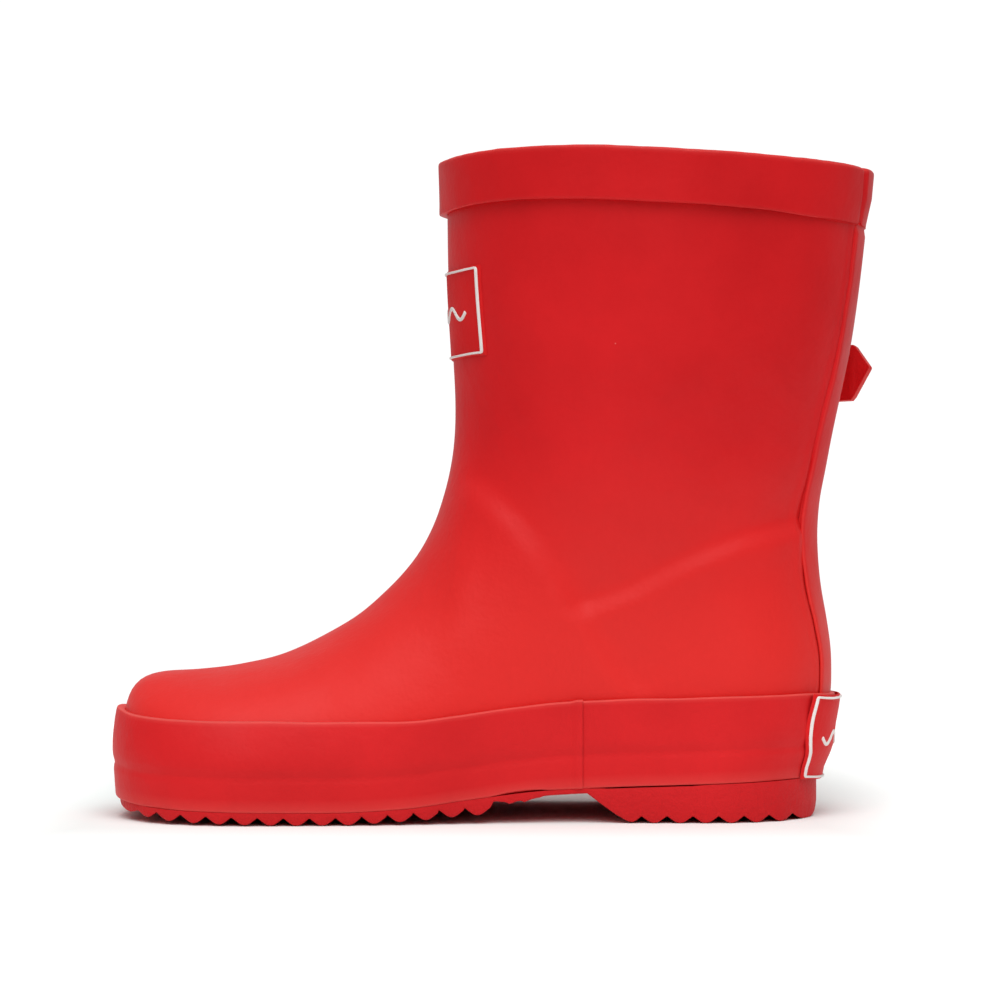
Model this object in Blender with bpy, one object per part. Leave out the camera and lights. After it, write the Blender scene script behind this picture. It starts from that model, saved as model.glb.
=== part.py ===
"""A child's pull-on rubber rain boot, right foot, built up from separate rubber pieces on a last.

Run with: blender --background --python part.py

Design units are millimetres and become metres in to_metres(). The toe points along -X, the heel along +X,
the outer (lateral) side of the foot along +Y, and the ground is z = 0. Every layer of the boot is a skin:
the outer surface of the upper, moved in or out by a distance.
"""

import math

import bmesh
import bpy
import numpy as np

MM = 0.001
ORIGIN = np.array([1.0, 0.0, 0.0])  # from the design's datum to the middle of the boot's bounding box

LATERAL, MEDIAL = 1, -1

# ---- Driving dimensions ------------------------------------------------------------------------------
GAP = 0.3  # left between neighbouring pieces
WRAP_GAP = 0.65  # left between curved layers that are wrapped on one another, whose facets don't line up
SHELL = 1.5  # thickness of the upper's rubber
PLY = 0.6  # thickness of a reinforcing ply
LINING = 0.7
FOXING = 1.8
BAND = 1.7
STRIP = 1.0
LABEL = 0.6
RAISED = 0.4  # height of a label's frame and motif above its patch

RIM_HEIGHT = 156.6  # height of the upper's top edge, before RIM_FALL
BAND_HEIGHT = 12.4  # at its tallest, before BAND_RISE
TOOTH_PITCH = 5.98
TOOTH_DEPTH = 1.6
LABEL_HEIGHT = 20.8
HEEL_LABEL_FALL = 1.15  # the heel label lies this much lower at the back than at its ends
FRONT_LABEL_WIDTH = 44.0
HEEL_LABEL_WIDTH = 39.0
SEAM_X = 19.0  # where the front and heel foxings meet

# Upright outline of the upper in the boot's middle plane, as (x, z): up the toe, over the vamp, up the shin.
FRONT_LINE = [
    (-90.0, 3.0), (-90.5, 9.0), (-90.8, 15.0), (-90.6, 21.0), (-89.8, 26.5), (-88.2, 30.6), (-85.3, 33.1),
    (-80.5, 34.3), (-72.0, 34.8), (-62.0, 36.1), (-50.6, 39.0), (-36.1, 46.4), (-27.1, 54.0), (-20.8, 61.3),
    (-16.4, 69.0), (-13.5, 77.0), (-11.5, 86.0), (-10.8, 97.0), (-11.3, 110.0), (-12.3, 127.0), (-12.8, 145.0),
    (-13.0, 162.0),
]
# The same up the back: heel, ankle, calf.
BACK_LINE = [
    (74.7, 4.0), (75.1, 9.0), (75.6, 12.0), (76.5, 14.2), (77.7, 17.0), (78.3, 21.0), (78.7, 27.0),
    (79.1, 32.0), (79.0, 39.5), (78.0, 47.0), (76.7, 54.5), (76.0, 61.5), (75.8, 68.5), (76.4, 75.7),
    (77.8, 83.0), (79.3, 91.0), (81.5, 101.5), (83.7, 112.0), (85.8, 126.0), (87.3, 139.0), (88.2, 151.0),
    (89.0, 162.0),
]
TOE_WIDEST_Z = 15.0
DOME_FOOT_Z = 9.0  # the vamp's cross-section starts to close above this height
DOME_POWER = 2.4


def cubic_through(points):
    """A monotone cubic through (x, y) points, as a function of x."""
    x, y = np.array(points, float).T
    step = np.diff(x)
    slope = np.diff(y) / step
    tangent = np.zeros(len(x))
    tangent[0], tangent[-1] = slope[0], slope[-1]
    for i in range(1, len(x) - 1):
        if slope[i - 1] * slope[i] > 0:
            before, after = 2 * step[i] + step[i - 1], step[i] + 2 * step[i - 1]
            tangent[i] = (before + after) / (before / slope[i - 1] + after / slope[i])

    def value(at):
        at = np.clip(np.asarray(at, float), x[0], x[-1])
        i = np.clip(np.searchsorted(x, at) - 1, 0, len(x) - 2)
        u = (at - x[i]) / step[i]
        return (
            y[i] * (1 + 2 * u) * (1 - u) ** 2
            + step[i] * tangent[i] * u * (1 - u) ** 2
            + y[i + 1] * u**2 * (3 - 2 * u)
            - step[i] * tangent[i + 1] * u**2 * (1 - u)
        )

    return value


def smooth_line(points, steps=10):
    """Points on the Catmull-Rom curve through the given ones."""
    p = np.array(points, float)
    p = np.vstack([2 * p[0] - p[1], p, 2 * p[-1] - p[-2]])
    u = np.linspace(0, 1, steps, endpoint=False)[:, None]
    runs = [
        0.5 * (2 * b + (c - a) * u + (2 * a - 5 * b + 4 * c - d) * u**2 + (3 * b - a - 3 * c + d) * u**3)
        for a, b, c, d in zip(p, p[1:], p[2:], p[3:])
    ]
    return np.vstack(runs + [p[-2:-1]])


def ease(value):
    """0 below 0, 1 above 1, smooth between."""
    value = np.clip(value, 0, 1)
    return value * value * (3 - 2 * value)


# Plan of the foot and leg: half widths either side of a centre line that bends towards the big toe.
FOOT_HALF_WIDTH = {
    MEDIAL: cubic_through(
        [(-92, 31.0), (-60, 32.6), (-34, 33.0), (0, 28.8), (22, 27.2), (50, 27.4), (80, 27.0)]
    ),
    LATERAL: cubic_through(
        [(-92, 30.5), (-60, 32.5), (-30, 33.4), (5, 30.2), (28, 27.8), (50, 27.4), (80, 27.0)]
    ),
}
LEG_HALF_WIDTH = cubic_through(
    [(30, 27.4), (52, 26.9), (68, 28.0), (85, 30.9), (110, 34.7), (135, 36.8), (160, 37.6)]
)
CENTRE_LINE = cubic_through([(-92, -4.5), (-60, -2.4), (-25, -0.4), (0, 0.0), (90, 0.0)])
TOE_LENGTH = 35.0  # length of the toe's rounding in plan
HEEL_LENGTH = 26.0

# Heights along the foot and the rim, as functions of x.
BASE_Z = cubic_through(
    [(-93, 5.2), (-84, 4.0), (-70, 3.3), (-40, 3.0), (-22, 3.8), (-8, 5.6), (12, 7.8), (50, 9.2), (80, 10.0)]
)
FOXING_TOP_Z = cubic_through(
    [(-94, 27), (-86, 24.8), (-60, 23.9), (-26, 23.9), (-10, 25.2), (2, 27), (19, 28.6), (50, 29.4), (70, 29.8),
     (84, 28.8)]
)
TREAD_Z = cubic_through(
    [(-93, 4.2), (-86.5, 2.1), (-81, 1.2), (-76, 0.75), (-70, 0.5), (-54, 0.1), (-46, 0), (-38, 0), (-29, 0.4),
     (-16.5, 1.15), (-10, 1.75), (-4, 2.1)]
)
# How far the rim lies below RIM_HEIGHT, and how far the band's lower edge rises above its lowest line.
RIM_FALL = cubic_through([(-13, 1.1), (-6, 0.5), (5, 0.24), (19, 0.3), (34, 1.0), (63, 2.4), (87, 3.4)])
BAND_RISE = cubic_through([(-13, 1.2), (5, 1.65), (22, 1.2), (60, 1.05), (72, 0.45), (87, 0.2)])


class Skin:
    """The upper's outer surface, moved inwards by inset (outwards if negative)."""

    def __init__(self, inset):
        self.inset = inset
        self.front_line = self.moved(smooth_line(FRONT_LINE), -inset)
        self.back_line = self.moved(smooth_line(BACK_LINE), inset)
        x, z = self.front_line.T
        over = (z > TOE_WIDEST_Z) & (z < 84)
        # Above the instep the line runs on steeply, so that the dome fades out inside the leg.
        self.dome_x = np.append(np.maximum.accumulate(x[over]), [x[over][-1] + 8, x[over][-1] + 120])
        self.dome_z = np.append(z[over], [z[over][-1] + 45, z[over][-1] + 1200])

    @staticmethod
    def moved(line, distance):
        along = np.gradient(line, axis=0)
        along /= np.linalg.norm(along, axis=1)[:, None]
        return line + distance * np.stack([-along[:, 1], along[:, 0]], axis=1)

    def front(self, z):
        return np.interp(z, self.front_line[:, 1], self.front_line[:, 0])

    def back(self, z):
        return np.interp(z, self.back_line[:, 1], self.back_line[:, 0])

    def half_width(self, x, z, side):
        front, back = self.front(z), self.back(z)
        tip = self.front(np.minimum(z, TOE_WIDEST_Z))
        toe = np.clip((x - tip) / (TOE_LENGTH - self.inset), 0, 1)
        roof = np.interp(x, self.dome_x, self.dome_z)
        dome = np.clip((z - DOME_FOOT_Z) / (roof - DOME_FOOT_Z), 0, 1) ** DOME_POWER
        shin = (1 - np.clip((x - front) / ((back - front) / 2), 0, 1)) ** 2
        closing = dome + (shin - dome) * ease((z - 42) / 46)
        heel_run = HEEL_LENGTH - self.inset
        heel_run = heel_run + ((back - front) / 2 - heel_run) * ease((z - 34) / 66)
        heel = np.clip((back - x) / heel_run, 0, 1)
        in_leg = ease((z - 22) / 50)
        width = FOOT_HALF_WIDTH[side](x) * (1 - in_leg) + LEG_HALF_WIDTH(z) * in_leg - self.inset
        round_toe = (1 - (1 - toe) ** 2.3) ** (1 / 2.3)
        return width * round_toe * np.sqrt(np.clip(1 - closing, 0, 1)) * np.sqrt(1 - (1 - heel) ** 2)

    def point(self, x, z, side):
        centre = CENTRE_LINE(x) * (1 - ease((z - 30) / 35))
        return np.stack([x, centre + side * self.half_width(x, z, side), z], axis=-1)

    def ends(self, level):
        """x where the surface z = level(x) meets the front and back lines."""
        front, back = -90.0, 78.0
        for _ in range(12):
            front, back = float(self.front(level(front))), float(self.back(level(back)))
        return front, back

    def half_loop(self, level, start, stop, count, side, at_front=True, at_back=True):
        """Points from x = start to x = stop on one side, packed closely towards the rounded ends."""
        u = np.linspace(0, 1, count + 1)
        if at_front and at_back:
            u = (1 - np.cos(math.pi * u)) / 2
        elif at_front:
            u = 1 - np.cos(math.pi * u / 2)
        elif at_back:
            u = np.sin(math.pi * u / 2)
        x = start + (stop - start) * u
        return self.point(x, level(x), side)

    def loop(self, level, count):
        """A closed loop of 2 * count points round the boot: front, lateral side, back, medial side."""
        front, back = self.ends(level)
        out = self.half_loop(level, front, back, count, LATERAL)
        home = self.half_loop(level, front, back, count, MEDIAL)
        out[0, 1] = home[0, 1] = CENTRE_LINE(front) * (1 - ease((level(front) - 30) / 35))
        out[-1, 1] = home[-1, 1] = CENTRE_LINE(back) * 0
        return np.vstack([out, home[-2:0:-1]])

    def front_path(self, level, stop, count):
        """An open path round the toe or shin between the places with x = stop, from the lateral side."""
        front = self.ends(level)[0]
        out = self.half_loop(level, front, stop, count, LATERAL, at_back=False)
        home = self.half_loop(level, front, stop, count, MEDIAL, at_back=False)
        out[0, 1] = (out[0, 1] + home[0, 1]) / 2
        return np.vstack([out[::-1], home[1:]])

    def back_path(self, level, start, count):
        """An open path round the heel or calf between the places with x = start, from the lateral side."""
        back = self.ends(level)[1]
        out = self.half_loop(level, start, back, count, LATERAL, at_front=False)
        home = self.half_loop(level, start, back, count, MEDIAL, at_front=False)
        return np.vstack([out[:-1], home[::-1]])

    def arc(self, level, distances, at_back):
        """Points at signed distances round from the middle line, lateral positive."""
        front, back = self.ends(level)
        fine = self.back_path(level, back - 40, 60) if at_back else self.front_path(level, front + 40, 60)
        run = np.concatenate([[0], np.cumsum(np.linalg.norm(np.diff(fine, axis=0), axis=1))])
        run = run[len(run) // 2] - run
        order = np.argsort(run)
        return np.stack([np.interp(distances, run[order], fine[order, k]) for k in range(3)], axis=1)


def level_at(height):
    """A level of the upper: it follows the sole below, is flat at the ankle and falls with the rim above."""

    def z(x):
        low = (BASE_Z(x) - 6.0) * (1 - ease((height - 6) / 30))
        return height + low - RIM_FALL(x) * ease((height - 95) / 45)

    return z


def above_base(distance):
    return lambda x: BASE_Z(x) + distance


# ---- Making objects ----------------------------------------------------------------------------------
def to_metres(points):
    return (np.asarray(points, float) + ORIGIN) * MM


def material(name, colour, roughness, metallic=0.0):
    made = bpy.data.materials.get(name) or bpy.data.materials.new(name)
    made.use_nodes = True
    shader = made.node_tree.nodes["Principled BSDF"]
    shader.inputs["Base Color"].default_value = (*colour, 1.0)
    shader.inputs["Roughness"].default_value = roughness
    shader.inputs["Metallic"].default_value = metallic
    return made


RED_RUBBER = ("red_rubber", (0.60, 0.015, 0.02), 0.45)
SOLE_RUBBER = ("sole_rubber", (0.52, 0.015, 0.025), 0.55)
WHITE_RUBBER = ("white_rubber", (0.85, 0.82, 0.80), 0.5)
BLACK_RUBBER = ("ply_rubber", (0.10, 0.10, 0.11), 0.7)
COTTON = ("cotton_lining", (0.78, 0.74, 0.66), 0.9)
FOAM = ("footbed_foam", (0.55, 0.55, 0.57), 0.9)
BOARD = ("insole_board", (0.45, 0.33, 0.22), 0.85)
NICKEL = ("nickel", (0.62, 0.61, 0.58), 0.3, 1.0)


def add_object(name, points, faces, finish, pivot=None):
    """A closed mesh with its faces pointing out, as an object. A moving piece's origin is at its pivot."""
    location = to_metres(pivot) if pivot is not None else np.zeros(3)
    bm = bmesh.new()
    corners = [bm.verts.new(p) for p in to_metres(points) - location]
    for face in faces:
        bm.faces.new([corners[i] for i in face])
    bmesh.ops.triangulate(bm, faces=bm.faces[:])
    bmesh.ops.recalc_face_normals(bm, faces=bm.faces[:])
    mesh = bpy.data.meshes.new(name)
    bm.to_mesh(mesh)
    bm.free()
    made = bpy.data.objects.new(name, mesh)
    made.location = location
    bpy.context.scene.collection.objects.link(made)
    mesh.materials.append(material(*finish))
    mesh.shade_smooth()
    mesh.set_sharp_from_angle(angle=math.radians(40))
    return made


def sweep(name, paths, finish, closed=False, around=True, pivot=None):
    """A solid between paths that run beside each other. closed joins each path's ends; around joins the last
    path to the first. Ends that stay open are filled."""
    rows, count = len(paths), len(paths[0])
    faces = []
    for a in range(rows if around else rows - 1):
        b = (a + 1) % rows
        for i in range(count if closed else count - 1):
            j = (i + 1) % count
            faces.append((a * count + i, a * count + j, b * count + j, b * count + i))
    if not closed:
        for end in (0, count - 1):
            ring = [a * count + end for a in range(rows)]
            faces += [(ring[i], ring[i + 1], ring[-2 - i], ring[-1 - i]) for i in range(rows // 2 - 1)]
            if rows % 2:
                faces.append(ring[rows // 2 - 1 : rows // 2 + 2])
    if closed and not around:
        faces += across(0, count) + across((rows - 1) * count, count)
    return add_object(name, np.vstack(paths), faces, finish, pivot)


def across(first, count):
    """Faces that fill a loop made by Skin.loop, from its lateral to its medial side."""
    half = count // 2
    faces = [(first, first + 1, first + count - 1)]
    for i in range(1, half - 1):
        faces.append((first + i, first + i + 1, first + count - i - 1, first + count - i))
    return faces + [(first + half - 1, first + half, first + half + 1)]


# ---- The upper and what is inside it -----------------------------------------------------------------
HEIGHTS = (7.5, 12, 17, 22, 26.5, 30, 32.6, 34.3, 35.4, 37, 40, 45, 51.5, 59, 68, 79, 93, 111, 131, RIM_HEIGHT)
LOOP_POINTS = 15
LINING_BOTTOM = 9.5  # level of the lining's underside and the plies' lower edges, just over the insole board
UNDER_PLIES = SHELL + 2 * WRAP_GAP + PLY


def make_upper_shell():
    """The outer rubber, leg and vamp in one, open above and below, where the insole board closes it."""
    paths = [Skin(0).loop(level_at(h), LOOP_POINTS) for h in HEIGHTS]
    paths += [Skin(SHELL).loop(level_at(h), LOOP_POINTS) for h in HEIGHTS[::-1]]
    sweep("upper_shell", paths, RED_RUBBER, closed=True)


def make_lining():
    """The cotton sock inside the rubber, closed under the footbed. It stands further in over the plies."""

    def loops(extra):
        near, deep = Skin(SHELL + GAP + extra), Skin(UNDER_PLIES + extra)
        found = []
        for height in (LINING_BOTTOM + extra, *HEIGHTS[1:]):
            over_plies = ease((96 - height) / 14)
            shallow, far_in = [skin.loop(level_at(height), LOOP_POINTS) for skin in (near, deep)]
            found.append(shallow * (1 - over_plies) + far_in * over_plies)
        return found

    sweep("lining", loops(0) + loops(LINING)[::-1], COTTON, closed=True, around=False)


def ply_edge(z):
    """x of the slanting line on the ankle where the vamp ply and the heel counter meet."""
    return min(18.0 - 0.845 * (z - 50.0), 34.0)


def make_plies():
    """Two rubber plies between the upper and the lining: one over the toe and vamp, one round the heel."""
    faces = Skin(SHELL + WRAP_GAP), Skin(SHELL + WRAP_GAP + PLY)
    heights = (LINING_BOTTOM, *[h for h in HEIGHTS if 10 < h < 70])
    outer, inner = [[skin.front_path(level_at(h), ply_edge(h), 12) for h in heights] for skin in faces]
    sweep("vamp_ply", outer + inner[::-1], BLACK_RUBBER)

    def counter_level(share):
        top_edge = lambda x: 48.0 + 0.38 * (x - 18.0)
        return lambda x: level_at(LINING_BOTTOM)(x) * (1 - share) + top_edge(x) * share

    shares = (0, 0.1, 0.22, 0.36, 0.5, 0.64, 0.78, 0.89, 1)
    faces = Skin(SHELL + WRAP_GAP + 0.15), Skin(SHELL + WRAP_GAP + PLY)
    outer, inner = [[skin.back_path(counter_level(t), 35.5, 10) for t in shares] for skin in faces]
    sweep("heel_counter", outer + inner[::-1], BLACK_RUBBER)


def make_plate(name, inset, low, high, finish):
    """A flat sheet that follows the sole, from low to high above its base."""
    paths = [Skin(inset).loop(above_base(h), LOOP_POINTS) for h in (low, high)]
    sweep(name, paths, finish, closed=True, around=False)


# ---- Trim on the upper -------------------------------------------------------------------------------
def band_level(height):
    """Level of the top band, which follows the rim at the top and BAND_RISE at its lower edge."""
    share = np.clip((RIM_HEIGHT - height) / BAND_HEIGHT, 0, 1)
    return lambda x: level_at(height)(x) + BAND_RISE(x) * share


def make_top_band():
    """The band round the rim: a strip on the outside whose top edge turns over the upper and the lining."""
    low, top = RIM_HEIGHT - BAND_HEIGHT, RIM_HEIGHT
    face, inside = -GAP - BAND, SHELL + GAP + LINING
    section = [
        (-GAP, low), (face + 0.2, low), (face, low + 0.5), (face - 0.2, top - 0.6), (face + 0.5, top + 0.9),
        (0.4, top + 1.6), (inside, top + 1.3), (inside, top + GAP), (-GAP, top + GAP),
    ]
    sweep("top_band", [Skin(inset).loop(band_level(h), 20) for inset, h in section], RED_RUBBER, closed=True)


STRIP_HALF_WIDTH = cubic_through([(30, 14.3), (45, 14.6), (66, 15.2), (85, 14.7), (110, 14.2), (145, 14.2)])


def make_back_strip():
    """The strip up the back of the leg, over the seam of the upper, from the heel foxing to the top band."""
    shares = np.array([-1, -0.7, -0.35, 0, 0.35, 0.7, 1])
    inner, outer = Skin(-GAP - 0.2), Skin(-GAP - STRIP)
    heights = [30.8, 36, 43, 50, 57, 64, 70, 76, 83, 92, 103, 115, 128, RIM_HEIGHT - BAND_HEIGHT]
    paths = [inner.arc(level_at(h), shares * STRIP_HALF_WIDTH(h), True) for h in heights]
    paths += [outer.arc(level_at(h), shares * STRIP_HALF_WIDTH(h), True) for h in heights[::-1]]
    sweep("back_strip", paths, RED_RUBBER)


def foxing_level(share):
    return lambda x: BASE_Z(x) + share * (FOXING_TOP_Z(x) - BASE_Z(x))


# Each point is (inset, share of the foxing's height), up the inner face and down the outer one.
FOXING_SECTION = [
    *[(-0.8 * WRAP_GAP, share) for share in (0.0, 0.25, 0.5, 0.75, 1.0)],
    *[(-GAP - FOXING + slack, share) for slack, share in ((0.0, 1.0), (0.0, 0.65), (0.3, 0.35), (0.1, 0.0))],
]


def make_foxings():
    """The rubber bands round the foot: one round the toe, one round the heel, meeting under each ankle."""
    front = [Skin(inset).front_path(foxing_level(share), SEAM_X, 18) for inset, share in FOXING_SECTION]
    sweep("foxing_front", front, RED_RUBBER)
    heel = [Skin(inset).back_path(foxing_level(share), SEAM_X + GAP, 12) for inset, share in FOXING_SECTION]
    sweep("foxing_heel", heel, RED_RUBBER)


# ---- Sole --------------------------------------------------------------------------------------------
SOLE_OVERHANG = 1.5  # how far the sole's edge stands out from the upper along the sides
END_OVERHANG = 0.5  # and at the tip of the toe and the back of the heel


def sole_sides(x):
    """y of the sole's medial and lateral edges at x."""
    share = float(ease((x + 91) / 12) * ease((77 - x) / 12))
    z = BASE_Z(x) + 3.0
    ends = []
    for side in (MEDIAL, LATERAL):
        wide = float(Skin(-SOLE_OVERHANG).point(np.array(x), z, side)[1])
        narrow = float(Skin(-END_OVERHANG).point(np.array(x), z, side)[1])
        ends.append(wide * share + narrow * (1 - share))
    return ends


def sole_piece(name, stations):
    """A piece of sole from stations (x, underside z, top z), as wide as the boot there."""
    paths = [[], [], [], []]
    for x, under, top in stations:
        medial, lateral = sole_sides(x)
        for path, (y, z) in zip(paths, ((medial, under), (lateral, under), (lateral, top), (medial, top))):
            path.append((x, y, z))
    return sweep(name, [np.array(path) for path in paths], SOLE_RUBBER)


def teeth(first_notch, count, crest_z, depth=TOOTH_DEPTH, pitch=TOOTH_PITCH):
    """(x, z) of a row of broad teeth with pointed notches between them, from the first notch to the last."""
    line = []
    for i in range(count):
        notch, crest = first_notch + i * pitch, crest_z(first_notch + (i + 0.5) * pitch)
        line += [(notch, crest + depth), (notch + 0.38 * pitch, crest), (notch + 0.62 * pitch, crest)]
    return line + [(first_notch + count * pitch, crest + depth)]


def make_outsole():
    """The moulded sole: a thin sheet from toe to heel breast, with saw teeth under the forefoot."""
    toe = Skin(-END_OVERHANG).ends(above_base(3.0))[0]
    tread = lambda x: float(TREAD_Z(x))
    line = [(toe + 0.2, 4.4), (toe + 0.9, 3.2), (toe + 2.4, 2.5), (toe + 4.2, 2.5)]
    line += teeth(-84.8, 1, tread, 1.0, 4.8)[:-1] + teeth(-80.0, 13, tread)
    line += [(x, float(BASE_Z(x)) - 1.3) for x in (-1.0, 6.0, 12.0, SEAM_X)]
    sole_piece("outsole", [(x, min(z, float(BASE_Z(x)) - GAP - 0.6), float(BASE_Z(x)) - GAP) for x, z in line])


def make_heel_block():
    """The heel, with a sloping breast and saw teeth underneath."""
    back = Skin(-END_OVERHANG).ends(above_base(3.0))[1] - 0.6
    line = [(SEAM_X + GAP, 7.2), (23.4, 4.6), (26.9, 2.1), (29.0, 0.85), (30.4, 0.2)]
    line += teeth(33.0, 6, lambda x: 0.0)
    line += [(71.2, 0.1), (back - 2.0, 0.0), (back - 1.0, 0.9), (back - 0.2, 3.0)]
    sole_piece("heel_block", [(x, z, float(BASE_Z(x)) - GAP) for x, z in line])


# ---- Labels ------------------------------------------------------------------------------------------
def make_label(name, surface, at_back, middle_z, width):
    """A rubber patch with a raised white frame and a raised white wave, on the shin or the heel."""
    half_w, half_h = width / 2, LABEL_HEIGHT / 2
    rib = 0.7
    margin = 0.3

    def row(inset, up, distances):
        level = lambda x: middle_z + up - (HEEL_LABEL_FALL * ease((x - 70) / 11) if at_back else 0 * x)
        return Skin(surface - inset).arc(level, distances, at_back)

    steps = np.linspace(-half_w, half_w, 9)
    heights = np.linspace(-half_h, half_h, 3)
    patch = [row(GAP, up, steps) for up in heights] + [row(GAP + LABEL, up, steps) for up in heights[::-1]]
    sweep(name, patch, RED_RUBBER)

    low = GAP + LABEL + GAP
    high = low + RAISED
    rails = []
    for inset, edge in ((low, margin), (high, margin), (high, margin + rib), (low, margin + rib)):
        wide, tall = half_w - edge, half_h - edge
        steps = np.linspace(-wide, wide, 9)
        bottom, top = row(inset, -tall, steps), row(inset, tall, steps[::-1])
        right, left = row(inset, 0, [wide]), row(inset, 0, [-wide])
        rails.append(np.vstack([bottom, right, top, left]))
    sweep(f"{name}_frame", rails, WHITE_RUBBER, closed=True)

    reach = half_w * 0.72
    wave_x = np.linspace(-reach, reach, 25)
    wave_z = 1.5 * np.sin(wave_x / reach * 3 * math.pi)
    edges = []
    for inset, side in ((low, -0.7), (high, -0.7), (high, 0.7), (low, 0.7)):
        edges.append(np.vstack([row(inset, up + side, [along]) for along, up in zip(wave_x, wave_z)]))
    sweep(f"{name}_wave", edges, WHITE_RUBBER)


# ---- Strap and buckle on the lateral side ------------------------------------------------------------
STRAP_Z = 107.0
STRAP_WIDTH = 14.0
STRAP = 1.6
BAR_RADIUS = 1.0
BUCKLE_LENGTH = 13.0
BUCKLE_SPREAD = 9.2  # from the buckle's middle to each side bar
BAR_HEIGHT = 2.65  # bar's axis above the leg
TAB = 1.1  # thickness of the tab folded round the bar


class StrapFrame:
    """Coordinates on the calf: s back along the strap, h out from the leg, u up the strap's width."""

    def __init__(self):
        skin = Skin(0)
        turn = math.radians(64)
        front, back = float(skin.front(STRAP_Z)), float(skin.back(STRAP_Z))
        x = (front + back) / 2 + (back - front) / 2 * math.cos(turn)
        places = ((x, STRAP_Z), (x + 0.5, STRAP_Z), (x, STRAP_Z + 1))
        here, ahead, over = [skin.point(np.array(a), np.array(b), LATERAL) for a, b in places]
        self.origin = here
        self.along = (ahead - here) / np.linalg.norm(ahead - here)
        up = over - here
        up -= self.along * (up @ self.along)
        self.up = up / np.linalg.norm(up)
        self.out = np.cross(self.up, self.along)
        xs = np.linspace(front + 1, back - 0.5, 400)
        round_leg = skin.point(xs, np.full(400, STRAP_Z), LATERAL) - here
        order = np.argsort(round_leg @ self.along)
        self.leg_s, self.leg_h = (round_leg @ self.along)[order], (round_leg @ self.out)[order]

    def leg(self, s):
        """Height of the leg's surface at s, measured from the tangent at the buckle."""
        return np.interp(s, self.leg_s, self.leg_h)

    def place(self, points):
        p = np.asarray(points, float)
        return self.origin + p @ np.array([self.along, self.out, self.up])


def tube_points(line, radius, sides, normals):
    """Paths of points round a line, for sweep(). normals has the direction of the first point at each one."""
    line = np.asarray(line, float)
    ahead = np.roll(line, -1, axis=0) - np.roll(line, 1, axis=0)
    paths = []
    for k in range(sides):
        angle = 2 * math.pi * k / sides
        path = []
        for p, d, n in zip(line, ahead, normals):
            d = d / np.linalg.norm(d)
            n = np.asarray(n, float) - d * (np.asarray(n, float) @ d)
            n /= np.linalg.norm(n)
            path.append(p + radius * (math.cos(angle) * n + math.sin(angle) * np.cross(d, n)))
        paths.append(np.array(path))
    return paths


def ribbon(frame, line, thickness, half_widths, middle=0.0):
    """Paths of a flat strap that follows line, a list of (s, h), with its half width and middle u at each point."""
    line = np.asarray(line, float)
    along = np.gradient(line, axis=0)
    along /= np.linalg.norm(along, axis=1)[:, None]
    normal = np.stack([-along[:, 1], along[:, 0]], axis=1)
    paths = []
    for side, out in ((-1, -1), (-1, 1), (1, 1), (1, -1)):
        edge = line + normal * out * thickness / 2
        paths.append(frame.place(np.column_stack([edge, side * np.asarray(half_widths) + middle])))
    return paths


def strap_line(frame):
    """Middle of the strap from its glued front end to just behind the buckle's bar."""
    on_leg = [(s, float(frame.leg(s)) + 0.85 + STRAP / 2) for s in (-47, -40, -33)]
    on_leg += [(s, float(frame.leg(s)) + 0.6 + STRAP / 2) for s in (-27, -21, -16.5)]
    over_bar = [(-12.8, -0.35), (-10.6, 0.1), (-7.6, 1.9), (-4.6, 4.3), (-2.2, 5.75), (0.4, 6.3), (3.0, 6.1)]
    return smooth_line(on_leg + over_bar, 3)


TAIL_START = (3.4, 6.02)
TAIL_END = (37.75, -1.12)
TIP_SHIFT = 1.0  # the tail's point lies this far above its middle line


def slot_cutter(name, frame, middle, direction, length, width):
    """A box that cuts a slot in the strap at middle (s, h), along direction."""
    d = np.array(direction, float) / np.linalg.norm(direction)
    n = np.array([-d[1], d[0]])
    corners = [
        (*(np.array(middle) + a * length / 2 * d + b * 4 * n), c * width / 2)
        for a in (-1, 1) for b in (-1, 1) for c in (-1, 1)
    ]
    faces = [(0, 1, 3, 2), (4, 6, 7, 5), (0, 4, 5, 1), (2, 3, 7, 6), (0, 2, 6, 4), (1, 5, 7, 3)]
    cutter = add_object(name, frame.place(corners), faces, RED_RUBBER)
    cutter.hide_render = True
    cutter.display_type = "WIRE"
    return cutter


def cut(target, cutter):
    made = target.modifiers.new("cut_" + cutter.name, "BOOLEAN")
    made.operation = "DIFFERENCE"
    made.solver = "EXACT"
    made.object = cutter


def make_strap(frame):
    """The strap in two pieces, hinged just behind the buckle's bar: the glued part and the free end."""
    line = strap_line(frame)
    strap = sweep("strap", ribbon(frame, line, STRAP, np.full(len(line), STRAP_WIDTH / 2)), RED_RUBBER)
    cut(strap, slot_cutter("strap_slot", frame, (-5.2, 3.9), (0.72, 0.62), 10.0, 3.0))

    start = np.array(TAIL_START)
    heading = np.array(TAIL_END) - start
    shares = np.append(np.linspace(0, 0.87, 10), [0.935, 1.0])
    half = STRAP_WIDTH / 2 * np.interp(shares, [0.87, 1], [1, 0.07])
    middle = TIP_SHIFT * np.interp(shares, [0.87, 1], [0, 1])
    paths = ribbon(frame, start + shares[:, None] * heading, STRAP, half, middle)
    tail = sweep("strap_tail", paths, RED_RUBBER, pivot=frame.place([(*TAIL_START, 0)])[0])
    for i, share in enumerate((0.22, 0.45, 0.68)):
        cut(tail, slot_cutter(f"tail_slot_{i + 1}", frame, start + share * heading, heading, 4.0, 2.2))


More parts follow.
